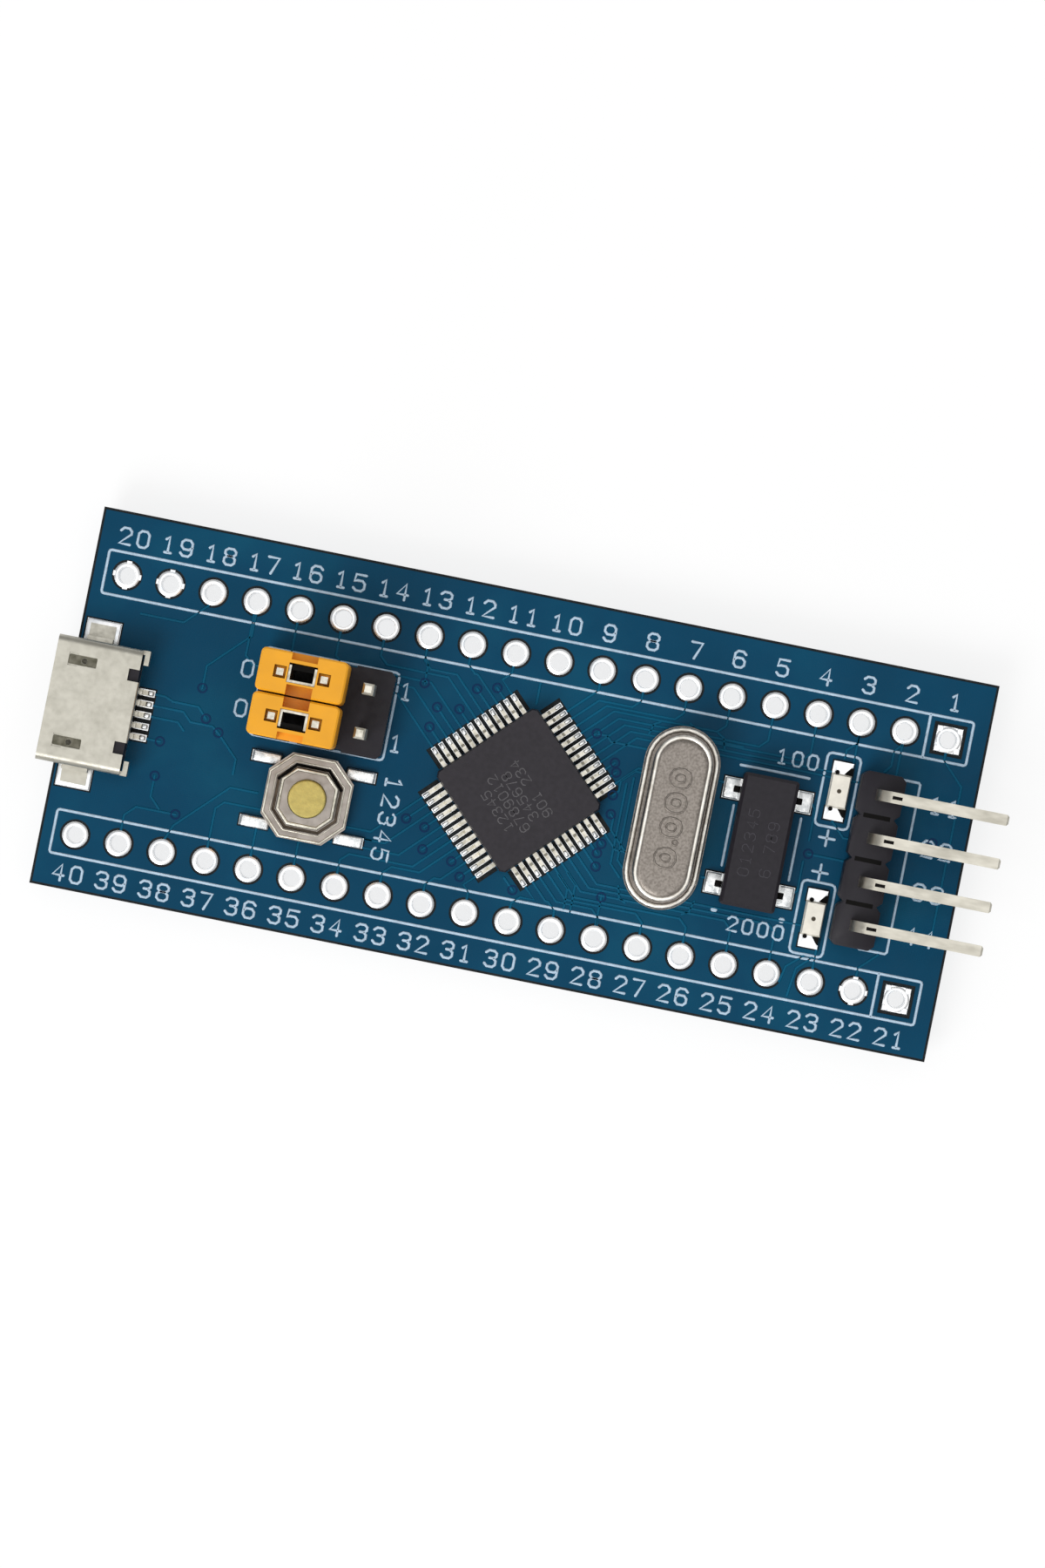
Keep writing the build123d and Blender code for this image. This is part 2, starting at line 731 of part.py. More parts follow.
reset_plate_corner = reset_corner * reset_plate_width / reset_cover_width
with BuildPart() as reset_switch_cover:
    cover_bottom = seat + reset_lead_thickness
    with BuildSketch(Plane.XY.offset(cover_bottom)):
        switch_octagon(reset_cover_width, reset_corner)
    extrude(amount=reset_rim_z - cover_bottom)
    with BuildSketch(Plane.XY.offset(reset_rim_z)):
        moat_corner = octagon_corner(reset_plate_corner, reset_moat_width)
        switch_octagon(reset_plate_width + 2 * reset_moat_width, moat_corner)
    extrude(amount=-reset_moat_depth, mode=Mode.SUBTRACT)
    with BuildSketch(Plane.XY.offset(reset_moat_z)):
        switch_octagon(reset_plate_width, reset_plate_corner)
    extrude(amount=reset_plate_z - reset_moat_z)
    plate_rim = reset_switch_cover.faces().sort_by(Axis.Z)[-1].edges()
    chamfer(plate_rim, length=reset_plate_chamfer)
    # room for the base, the dome and the button's flange
    with BuildSketch(Plane.XY.offset(cover_bottom)):
        switch_octagon(reset_base_width + 2 * joint_clearance, reset_base_corner)
    extrude(amount=reset_moat_z - reset_sheet - cover_bottom, mode=Mode.SUBTRACT)
    with BuildSketch(Plane.XY.offset(cover_bottom)):
        inner_corner = octagon_corner(reset_plate_corner, -reset_sheet)
        switch_octagon(reset_plate_width - 2 * reset_sheet, inner_corner)
    extrude(amount=reset_plate_z - reset_sheet - cover_bottom, mode=Mode.SUBTRACT)
    with Locations((reset_x, reset_y, reset_plate_z)):
        Hole(reset_button_radius + reset_button_clearance, depth=2 * reset_sheet)
finish(reset_switch_cover, "reset_switch_cover")

reset_contact_z = reset_base_z + reset_floor
with BuildPart() as reset_switch_contacts:
    with BuildSketch(Plane.XY.offset(reset_contact_z)):
        with Locations((reset_x, reset_y)):
            Circle(reset_pocket_radius - joint_clearance)
            Circle(reset_pocket_radius - reset_ring_width, mode=Mode.SUBTRACT)
            Circle(reset_contact_radius)
    extrude(amount=reset_contact_thickness)
finish(reset_switch_contacts, "reset_switch_contacts")

reset_dome_z = reset_contact_z + reset_contact_thickness
reset_dome_radius = reset_pocket_radius - reset_dome_clearance
dome_sphere_radius = (reset_dome_radius**2 + reset_dome_height**2) / (2 * reset_dome_height)
with BuildPart() as reset_dome:
    with Locations((reset_x, reset_y, reset_dome_z + reset_dome_height - dome_sphere_radius)):
        Sphere(dome_sphere_radius)
        Sphere(dome_sphere_radius - reset_contact_thickness, mode=Mode.SUBTRACT)
    split(bisect_by=Plane.XY.offset(reset_dome_z), keep=Keep.TOP)
finish(reset_dome, "reset_dome")

reset_flange_z = reset_dome_z + reset_dome_height + joint_clearance
with BuildPart() as reset_button:
    with BuildSketch(Plane.XY.offset(reset_flange_z)):
        with Locations((reset_x, reset_y)):
            Circle(reset_button_radius + reset_button_flange)
    extrude(amount=reset_plate_z - reset_sheet - reset_flange_z - joint_clearance)
    with BuildSketch(Plane.XY.offset(reset_flange_z)):
        with Locations((reset_x, reset_y)):
            Circle(reset_button_radius)
    extrude(amount=seat + reset_button_top - reset_flange_z)
    fillet(reset_button.faces().sort_by(Axis.Z)[-1].edges(), radius=reset_button_round)
finish(reset_button, "reset_button")

with BuildPart() as reset_switch_leads:
    with BuildSketch(Plane.XY.offset(seat)):
        with Locations(*reset_lead_points):
            Rectangle(reset_lead_length, reset_lead_width)
    extrude(amount=reset_lead_thickness)
finish(reset_switch_leads, "reset_switch_leads")


# ---- microcontroller ----
chip_middle_z = seat + chip_standoff + chip_height / 2
with BuildPart() as microcontroller_body:
    chip_plane = Plane(
        origin=(chip_x, chip_y, chip_middle_z),
        x_dir=Vector(1, 0, 0).rotate(Axis.Z, chip_turn), z_dir=(0, 0, 1),
    )
    with BuildSketch(chip_plane) as chip_outline:
        Rectangle(chip_width, chip_width)
        chamfer(chip_outline.vertices(), length=chip_corner)
    extrude(amount=chip_height / 2, both=True, taper=chip_draft)
    with BuildSketch(chip_plane):
        Rectangle(die_width, die_width)
    extrude(amount=die_thickness, mode=Mode.SUBTRACT)
    with BuildSketch(chip_plane):
        Rectangle(paddle_width, paddle_width)
    extrude(amount=-paddle_thickness, mode=Mode.SUBTRACT)
finish(microcontroller_body, "microcontroller_body")

with BuildPart() as microcontroller_die:
    with BuildSketch(chip_plane):
        Rectangle(die_width, die_width)
    extrude(amount=die_thickness)
finish(microcontroller_die, "microcontroller_die")

with BuildPart() as microcontroller_paddle:
    with BuildSketch(chip_plane):
        Rectangle(paddle_width, paddle_width)
    extrude(amount=-paddle_thickness)
finish(microcontroller_paddle, "microcontroller_paddle")

with BuildPart() as one_chip_lead:
    lead_start = chip_width / 2
    knee = lead_start + lead_shoulder
    heel = lead_span / 2 - lead_foot
    lead_top = chip_middle_z + lead_thickness / 2
    with BuildSketch(Plane.XZ):
        with BuildLine():
            Polyline(
                (lead_start, lead_top), (knee, lead_top),
                (heel + lead_thickness, seat + lead_thickness),
                (lead_span / 2, seat + lead_thickness), (lead_span / 2, seat), (heel, seat),
                (knee - lead_thickness, lead_top - lead_thickness),
                (lead_start, lead_top - lead_thickness), close=True,
            )
        make_face()
    extrude(amount=lead_width / 2, both=True)

with BuildPart() as microcontroller_leads:
    with Locations(*chip_lead_places):
        add(one_chip_lead.part)
finish(microcontroller_leads, "microcontroller_leads")


# ---- main crystal ----
crystal_flange_z = seat + crystal_base_thickness
with BuildPart() as main_crystal_base:
    with BuildSketch(Plane.XY.offset(seat)):
        with Locations((crystal_x, crystal_y)):
            SlotOverall(crystal_base_length, crystal_base_width, rotation=90)
        with Locations(*crystal_leg_points):
            Circle(crystal_bead_radius, mode=Mode.SUBTRACT)
    extrude(amount=crystal_base_thickness)
finish(main_crystal_base, "main_crystal_base")

with BuildPart() as main_crystal_beads:
    with BuildSketch(Plane.XY.offset(seat)):
        with Locations(*crystal_leg_points):
            Circle(crystal_bead_radius)
            Circle(crystal_leg_radius, mode=Mode.SUBTRACT)
    extrude(amount=crystal_base_thickness)
finish(main_crystal_beads, "main_crystal_beads")

with BuildPart() as main_crystal_can:
    with BuildSketch(Plane.XY.offset(crystal_flange_z)):
        with Locations((crystal_x, crystal_y)):
            SlotOverall(
                crystal_base_length - 2 * crystal_flange_inset,
                crystal_base_width - 2 * crystal_flange_inset, rotation=90,
            )
    extrude(amount=crystal_flange_thickness)
    with BuildSketch(Plane.XY.offset(crystal_flange_z)):
        with Locations((crystal_x, crystal_y)):
            SlotOverall(crystal_can_length, crystal_can_width, rotation=90)
    extrude(amount=crystal_height - crystal_base_thickness)
    fillet(main_crystal_can.faces().sort_by(Axis.Z)[-1].edges(), radius=crystal_top_radius)
    flange_face = main_crystal_can.faces().filter_by(Axis.Z).sort_by(Axis.Z)[-2]
    fillet(flange_face.outer_wire().edges(), radius=crystal_flange_round)
    with BuildSketch(Plane.XY.offset(crystal_flange_z)):
        with Locations((crystal_x, crystal_y)):
            SlotOverall(
                crystal_can_length - 2 * crystal_wall, crystal_can_width - 2 * crystal_wall,
                rotation=90,
            )
    extrude(
        amount=crystal_height - crystal_base_thickness - crystal_wall, mode=Mode.SUBTRACT
    )
finish(main_crystal_can, "main_crystal_can")

leg_end_z = crystal_flange_z + crystal_leg_rise
with BuildPart() as main_crystal_legs:
    with Locations(*[(x, y, -crystal_leg_tail) for x, y in crystal_leg_points]):
        Cylinder(crystal_leg_radius, crystal_leg_tail + leg_end_z, align=standing)
finish(main_crystal_legs, "main_crystal_legs")

quartz_z = crystal_flange_z + quartz_lift
with BuildPart() as main_crystal_springs:
    for side, (x, y) in zip((1, -1), crystal_leg_points):
        holder_end = crystal_y + side * (quartz_length / 2 + spring_end_gap)
        middle_y = (y + holder_end) / 2
        holder_length = abs(holder_end - y) + 2 * crystal_leg_radius
        with Locations((x, middle_y, leg_end_z)):
            Box(spring_width, holder_length, spring_thickness, align=standing)
        with Locations((x, holder_end, leg_end_z)):
            Box(
                spring_width, spring_thickness, quartz_z + quartz_height - leg_end_z,
                align=standing,
            )
        for face in (1, -1):
            grip_x = x + face * (quartz_thickness + spring_thickness) / 2
            with Locations((grip_x, holder_end, quartz_z + quartz_height / 2)):
                Box(spring_thickness, quartz_grip_length, quartz_grip_height)
finish(main_crystal_springs, "main_crystal_springs")

with BuildPart() as quartz_blank:
    with Locations((crystal_x, crystal_y, quartz_z)):
        Box(quartz_thickness, quartz_length, quartz_height, align=standing)
finish(quartz_blank, "quartz_blank")

with BuildPart() as main_crystal_solder:
    solder_joint_solids(crystal_leg_points, 2 * crystal_leg_radius, crystal_hole_radius)
    with Locations(*[(x, y, 0) for x, y in crystal_leg_points]):
        Cylinder(crystal_leg_radius, 4 * board_thickness, mode=Mode.SUBTRACT)
finish(main_crystal_solder, "main_crystal_solder")


# ---- clock crystal ----
with BuildPart() as clock_crystal_body:
    with BuildSketch(Plane.XY.offset(seat + clock_standoff)) as clock_outline:
        with Locations((clock_x, clock_y)):
            Rectangle(clock_width, clock_length)
        fillet(clock_outline.vertices(), radius=clock_corner)
    extrude(amount=clock_height - clock_standoff)
    chamfer(clock_crystal_body.faces().sort_by(Axis.Z)[-1].edges(), length=clock_chamfer)
finish(clock_crystal_body, "clock_crystal_body")

with BuildPart() as clock_crystal_leads:
    for side, y in clock_lead_points:
        foot_x = clock_x + side * clock_lead_x
        with Locations((foot_x, y, seat)):
            Box(clock_lead_reach, clock_lead_width, clock_lead_thickness, align=standing)
        # the notch that leaves two prongs
        with Locations((foot_x - side * clock_lead_reach / 4, y, seat)):
            Box(clock_lead_reach / 2, clock_lead_notch, 1, mode=Mode.SUBTRACT)
        prong_x = clock_x + side * (clock_width + clock_prong_thickness) / 2
        prong_width = (clock_lead_width - clock_lead_notch) / 2
        for end in (1, -1):
            prong_y = y + end * (clock_lead_notch + prong_width) / 2
            with Locations((prong_x, prong_y, seat)):
                Box(clock_prong_thickness, prong_width, clock_prong_height, align=standing)
finish(clock_crystal_leads, "clock_crystal_leads")


# ---- indicator lamps ----
for lamp_name, lamp_y in (("power_lamp", power_lamp_y), ("user_lamp", user_lamp_y)):
    with BuildPart() as lamp_base:
        with Locations((lamp_x, lamp_y, seat)):
            Box(lamp_width, lamp_length, lamp_base_thickness, align=standing)
    finish(lamp_base, f"{lamp_name}_base")

    with BuildPart() as lamp_lens:
        with BuildSketch(Plane.XY.offset(seat + lamp_base_thickness)):
            with Locations((lamp_x, lamp_y)):
                Rectangle(lamp_width - 2 * lamp_lens_inset, lamp_length - 2 * lamp_lens_end_inset)
        extrude(amount=lamp_lens_height, taper=lamp_lens_draft)
    finish(lamp_lens, f"{lamp_name}_lens")

with BuildPart() as lamp_terminals:
    for x, y, side in lamp_end_points:
        inner_y = y - side * lamp_end_length / 2
        outer_y = y + side * lamp_end_length / 2
        with BuildSketch(Plane.XY.offset(seat)):
            with BuildLine():
                Polyline(
                    (x - lamp_neck_width / 2, inner_y), (x + lamp_neck_width / 2, inner_y),
                    (x + lamp_width / 2, outer_y), (x - lamp_width / 2, outer_y), close=True,
                )
            make_face()
        extrude(amount=lamp_base_thickness)
finish(lamp_terminals, "lamp_terminals")


# ---- underside ----
regulator_top = -land_thickness - regulator_standoff
with BuildPart() as regulator_body:
    with BuildSketch(Plane.XY.offset(regulator_top - regulator_height / 2)):
        with Locations((regulator_x, regulator_y)):
            Rectangle(regulator_width, regulator_length)
    extrude(amount=regulator_height / 2, both=True, taper=chip_draft)
finish(regulator_body, "regulator_body")

with BuildPart() as regulator_leads:
    body_side = regulator_width / 2
    middle_z = regulator_top - regulator_height / 2
    half = regulator_lead_thickness / 2
    tip = regulator_span / 2
    bend_x = tip - regulator_foot
    foot_z = -land_thickness
    for _, y, side in regulator_lead_points:
        with BuildSketch(Plane((regulator_x, y, 0), x_dir=(side, 0, 0), z_dir=(0, -side, 0))):
            with BuildLine():
                Polyline(
                    (body_side, middle_z - half), (bend_x, middle_z - half),
                    (bend_x, foot_z - 2 * half), (tip, foot_z - 2 * half), (tip, foot_z),
                    (bend_x - 2 * half, foot_z), (bend_x - 2 * half, middle_z + half),
                    (body_side, middle_z + half), close=True,
                )
            make_face()
        extrude(amount=regulator_lead_width / 2, both=True)
finish(regulator_leads, "regulator_leads")

chip_part_body = chip_part_length - 2 * end_cap_length


def chip_part_bodies(places, height):
    """Ceramic middles of the small two-ended parts."""
    with Locations(*part_places(places, -land_thickness)):
        Box(chip_part_body, chip_part_width, height, align=hanging)


def chip_part_ends(places, height):
    """Tinned end caps of the small two-ended parts."""
    end_x = (chip_part_body + end_cap_length) / 2
    with Locations(*[
        place * Location((end * end_x, 0, 0))
        for place in part_places(places, -land_thickness)
        for end in (1, -1)
    ]):
        Box(end_cap_length, chip_part_width, height, align=hanging)


with BuildPart() as capacitor_bodies:
    chip_part_bodies(capacitor_places, capacitor_height)
finish(capacitor_bodies, "capacitor_bodies")

with BuildPart() as capacitor_ends:
    chip_part_ends(capacitor_places, capacitor_height)
finish(capacitor_ends, "capacitor_ends")

with BuildPart() as resistor_bodies:
    chip_part_bodies(resistor_places, resistor_height)
finish(resistor_bodies, "resistor_bodies")

with BuildPart() as resistor_ends:
    chip_part_ends(resistor_places, resistor_height)
finish(resistor_ends, "resistor_ends")
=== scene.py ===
"""Looks of a small microcontroller board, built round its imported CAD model.

The frame gives places in metres. Lengths written here are in millimetres, and pass through MM.
Tracks, vias and print that no node marks have places of their own, measured from the middle of
the two header rows.
"""

import math

import bmesh
import bpy
from bpy.props import FloatProperty, FloatVectorProperty, IntProperty, PointerProperty
from mathutils import Matrix, Vector


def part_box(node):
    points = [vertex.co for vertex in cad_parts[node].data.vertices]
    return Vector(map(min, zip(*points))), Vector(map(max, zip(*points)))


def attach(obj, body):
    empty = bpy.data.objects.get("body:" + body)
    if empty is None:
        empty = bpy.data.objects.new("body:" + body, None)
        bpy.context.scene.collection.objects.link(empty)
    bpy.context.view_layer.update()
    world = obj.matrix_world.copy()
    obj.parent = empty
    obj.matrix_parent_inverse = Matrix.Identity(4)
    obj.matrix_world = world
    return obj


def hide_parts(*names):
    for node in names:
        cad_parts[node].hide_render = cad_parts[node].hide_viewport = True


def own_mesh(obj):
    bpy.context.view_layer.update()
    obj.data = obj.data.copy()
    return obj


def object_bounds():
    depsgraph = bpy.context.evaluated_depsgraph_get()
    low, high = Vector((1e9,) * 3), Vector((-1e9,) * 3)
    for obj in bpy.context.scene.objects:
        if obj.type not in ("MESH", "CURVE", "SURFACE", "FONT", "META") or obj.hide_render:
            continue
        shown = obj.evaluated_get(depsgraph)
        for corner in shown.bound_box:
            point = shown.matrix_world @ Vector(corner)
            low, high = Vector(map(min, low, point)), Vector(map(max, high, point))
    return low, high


bl_info = {
    "name": "Microcontroller Board",
    "version": (1, 0, 0),
    "blender": (4, 5, 0),
    "location": "3D View > Sidebar > Board",
    "description": "Builds the finishes, print, tracks and solder of a small microcontroller board",
    "category": "Object",
}

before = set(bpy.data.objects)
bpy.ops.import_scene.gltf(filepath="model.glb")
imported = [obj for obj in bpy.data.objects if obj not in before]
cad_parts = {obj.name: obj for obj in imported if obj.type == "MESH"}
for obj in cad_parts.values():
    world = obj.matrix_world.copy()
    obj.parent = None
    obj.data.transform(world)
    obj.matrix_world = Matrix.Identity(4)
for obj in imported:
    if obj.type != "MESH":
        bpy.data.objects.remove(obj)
CAD_LOW, CAD_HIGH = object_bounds()

MM = 0.001
BOARD_LOW, BOARD_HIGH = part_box("circuit_board")
BOARD_TOP = BOARD_HIGH.z / MM
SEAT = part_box("top_lands")[1].z / MM  # top of the copper lands
UNDER_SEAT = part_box("underside_lands")[0].z / MM


# ---- sizes and colours that a user would change ----
def seen(red, green, blue):
    """A colour given as it looks on a screen, 0 to 255, as shader values."""
    shown = [value / 255 for value in (red, green, blue)]
    return [v / 12.92 if v <= 0.04045 else ((v + 0.055) / 1.055) ** 2.4 for v in shown]


def tint(name, description, red, green, blue):
    """A colour setting, given as it looks on a screen, 0 to 255."""
    return FloatVectorProperty(
        name=name, description=description, subtype="COLOR", size=3, min=0, max=1,
        default=seen(red, green, blue),
    )


def length(name, description, value, high):
    """A length setting in millimetres."""
    return FloatProperty(
        name=name, description=description, default=value, min=0.001, max=high, precision=3
    )


class BoardColours(bpy.types.PropertyGroup):
    """Colours of the board's finishes."""

    mask: tint("Mask", "Lacquer over the laminate", 0, 66, 96)
    mask_light: tint("Mask highlight", "Paler patches of the lacquer", 4, 78, 106)
    track: tint("Track", "Lacquer where it lies on copper", 6, 84, 114)
    print_ink: tint("Print", "Ink of the lines and numbers", 186, 210, 230)
    laminate: tint("Laminate", "Bare glass laminate", 24, 28, 30)
    cap: tint("Cap", "Plastic of the jumper caps", 238, 166, 30)
    button: tint("Button", "Plastic of the reset button", 196, 180, 104)
    lens: tint("Lens", "Moulded lens of each lamp", 246, 241, 228)


class BoardSizes(bpy.types.PropertyGroup):
    """Sizes of the thin layers and the print, in millimetres."""

    mask_thickness: length("Mask thickness", "Lacquer layer on each face", 0.03, 0.045)
    mask_margin: length("Mask margin", "Gap from the lacquer to a land", 0.09, 0.2)
    mask_edge: length("Mask edge", "Bare strip along the board's edges", 0.14, 0.5)
    track_width: length("Track width", "Copper track under the lacquer", 0.17, 0.5)
    track_rise: length("Track rise", "Height of a track above the lacquer", 0.02, 0.05)
    print_width: length("Print width", "Width of a printed line", 0.17, 0.4)
    print_rise: length("Print rise", "Height of the ink above the lacquer", 0.02, 0.05)
    digit_height: length("Digit height", "Height of the pin numbers", 0.93, 1.5)
    ring_dome: length("Ring dome", "How far the tin bulges over each ring", 0.05, 0.1)
    solder_rise: length("Solder rise", "Height of the solder on the small lands", 0.26, 0.5)


class BoardSettings(bpy.types.PropertyGroup):
    """All settings of the board."""

    colours: PointerProperty(type=BoardColours)
    sizes: PointerProperty(type=BoardSizes)
    first_number: IntProperty(
        name="First number", description="Number of the first pin of the far row", default=1, min=0
    )


def settings():
    """The board's settings in this scene."""
    return bpy.context.scene.board


# ---- places ----
def solids_of(node):
    """(low, high) corners in millimetres of each separate solid of a CAD node."""
    bm = bmesh.new()
    bm.from_mesh(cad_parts[node].data)
    bmesh.ops.remove_doubles(bm, verts=bm.verts, dist=1e-7)
    seen, boxes = set(), []
    for first in bm.verts:
        if first in seen:
            continue
        seen.add(first)
        group, waiting = [], [first]
        while waiting:
            vert = waiting.pop()
            group.append(vert.co / MM)
            for edge in vert.link_edges:
                other = edge.other_vert(vert)
                if other not in seen:
                    seen.add(other)
                    waiting.append(other)
        low = Vector([min(co[axis] for co in group) for axis in range(3)])
        high = Vector([max(co[axis] for co in group) for axis in range(3)])
        boxes.append((low, high))
    bm.free()
    return boxes


def middle(box):
    """Centre of a (low, high) box."""
    return (box[0] + box[1]) / 2


def lead_offset(number):
    """Place of a chip lead along its side, from the middle of the side."""
    return (number - (LEADS_PER_SIDE - 1) / 2) * LEAD_PITCH


def node_box(node):
    """(low, high) corners of a CAD node's box, in millimetres."""
    low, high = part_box(node)
    return low / MM, high / MM


def node_middle(node):
    """Centre of a CAD node's box, in millimetres."""
    return middle(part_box(node)) / MM


CHIP = node_middle("microcontroller_body")
CHIP_TURN = math.radians(45)
CHIP_LAND_REACH = 5.6  # lands nearer than this to the chip's middle are its own
LEADS_PER_SIDE = 12
LEAD_PITCH = 0.5
TOE = 4.7  # from the chip's middle to the tip of a lead's land
RINGS = [box for box in solids_of("header_hole_pads") if box[0].z > 0]
RING_PLACES = sorted({(round(middle(b).x, 3), round(middle(b).y, 3)) for b in RINGS})
ROW_Y = max(y for _, y in RING_PLACES)
FAR_ROW = sorted((x for x, y in RING_PLACES if y > 0), reverse=True)
SQUARE_X = FAR_ROW[0]
PITCH = FAR_ROW[0] - FAR_ROW[1]
RING_RADIUS = (RINGS[0][1].x - RINGS[0][0].x) / 2
HOLE_RADIUS = 0.5
PIN_OPENING = 0.95  # radius of the bare ring round each soldered pin
BED = 0.02  # how far a small piece is sunk into what it lies on
FAR_NUMBERS_Y, NEAR_NUMBERS_Y = 9.82, -9.9
FRAME_CORNER = 0.14  # cut at the corners of the printed frame of each row
PLAIN_LANDS = [
    box for box in solids_of("top_lands") if (middle(box) - CHIP).xy.length >= CHIP_LAND_REACH
]
UNDER_LANDS = solids_of("underside_lands")
PIN_JOINTS = [
    middle(box)
    for node in ("boot_header_solder", "debug_header_solder", "main_crystal_solder")
    for box in solids_of(node)
]
DEBUG_PINS = sorted(solids_of("debug_header_pins"), key=lambda box: -box[0].y)


# ---- finishes ----
class Finish:
    """One material and the node makers that its recipe uses. Sizes are in millimetres."""

    def __init__(self, name, **sockets):
        self.material = bpy.data.materials.new(name)
        self.material.use_nodes = True
        self.tree = self.material.node_tree
        self.shader = self.tree.nodes["Principled BSDF"]
        for socket, value in sockets.items():
            label = socket.replace("_", " ").title().replace("Ior", "IOR")
            self.shader.inputs[label].default_value = value
        self.place = self.node("ShaderNodeTexCoord").outputs["Object"]

    def node(self, kind):
        return self.tree.nodes.new(kind)

    def link(self, start, end):
        self.tree.links.new(start, end)

    def mapped(self, stretch=(1, 1, 1)):
        """Object coordinates in millimetres, stretched."""
        mapping = self.node("ShaderNodeMapping")
        self.link(self.place, mapping.inputs["Vector"])
        mapping.inputs["Scale"].default_value = [value / MM for value in stretch]
        return mapping.outputs["Vector"]

    def noise(self, size, detail=3, stretch=(1, 1, 1)):
        """Cloudy pattern whose patches are about size across."""
        noise = self.node("ShaderNodeTexNoise")
        self.link(self.mapped(stretch), noise.inputs["Vector"])
        noise.inputs["Scale"].default_value = 1 / size
        noise.inputs["Detail"].default_value = detail
        return noise.outputs["Fac"]

    def weave(self, size):
        """Glass cloth: two crossed waves, multiplied."""
        threads = []
        for direction in ("X", "Y"):
            wave = self.node("ShaderNodeTexWave")
            wave.bands_direction = direction
            self.link(self.mapped(), wave.inputs["Vector"])
            wave.inputs["Scale"].default_value = 1 / size
            wave.inputs["Distortion"].default_value = 0.6
            threads.append(wave.outputs["Fac"])
        cross = self.node("ShaderNodeMath")
        cross.operation = "MULTIPLY"
        self.link(threads[0], cross.inputs[0])
        self.link(threads[1], cross.inputs[1])
        return cross.outputs["Value"]

    def colour(self, pattern, *stops):
        """Base colour from a pattern, with (position, colour) stops."""
        ramp = self.node("ShaderNodeValToRGB")
        self.link(pattern, ramp.inputs["Fac"])
        elements = ramp.color_ramp.elements
        while len(elements) < len(stops):
            elements.new(0.5)
        for element, (position, value) in zip(elements, stops):
            element.position = position
            element.color = (*value, 1)
        self.link(ramp.outputs["Color"], self.shader.inputs["Base Color"])
        return self

    def gloss(self, pattern, low, high):
        """Roughness from low to high over a pattern."""
        spread = self.node("ShaderNodeMapRange")
        self.link(pattern, spread.inputs["Value"])
        spread.inputs["From Min"].default_value = 0.3
        spread.inputs["From Max"].default_value = 0.7
        spread.inputs["To Min"].default_value = low
        spread.inputs["To Max"].default_value = high
        self.link(spread.outputs["Result"], self.shader.inputs["Roughness"])
        return self

    def relief(self, pattern, depth, strength=1.0):
        """Surface relief of a depth in millimetres."""
        bump = self.node("ShaderNodeBump")
        bump.inputs["Strength"].default_value = strength
        bump.inputs["Distance"].default_value = depth * MM
        self.link(pattern, bump.inputs["Height"])
        before = self.shader.inputs["Normal"].links
        if before:
            self.link(before[0].from_socket, bump.inputs["Normal"])
        self.link(bump.outputs["Normal"], self.shader.inputs["Normal"])
        return self


def shade(colour, share):
    """A colour made darker or lighter by a share."""
    return [min(1.0, value * share) for value in colour]


def mask_finish(name, colour, light):
    """Glossy lacquer, mottled, with the glass cloth just showing through."""
    finish = Finish(name, specular_ior_level=0.08)
    finish.colour(finish.noise(7.0, 4), (0.35, shade(colour, 0.9)), (0.52, colour), (0.75, light))
    finish.gloss(finish.noise(1.2, 3), 0.28, 0.42)
    return finish.relief(finish.weave(0.35), 0.006, 0.5).relief(finish.noise(0.5, 2), 0.01, 0.4)


def metal_finish(name, dark, bright, rough, size=0.8, depth=0.004, stretch=(1, 1, 1)):
    """Metal with cloudy tarnish and fine wear."""
    finish = Finish(name, metallic=1.0)
    cloud = finish.noise(size, 4, stretch)
    finish.colour(cloud, (0.32, dark), (0.62, bright))
    finish.gloss(finish.noise(size / 3, 3, stretch), rough - 0.07, rough + 0.1)
    return finish.relief(finish.noise(size / 6, 3, stretch), depth, 0.6)


def plastic_finish(name, colour, rough, size=0.9, depth=0.006, variation=0.12, specular=0.25):
    """Moulded plastic: fine grain, faint flow marks and small colour changes."""
    finish = Finish(name, specular_ior_level=specular)
    cloud = finish.noise(size, 3)
    finish.colour(
        cloud, (0.3, shade(colour, 1 - variation)), (0.7, shade(colour, 1 + variation))
    )
    finish.gloss(finish.noise(size / 2, 2), rough - 0.06, rough + 0.08)
    return finish.relief(finish.noise(0.09, 2), depth, 0.5)


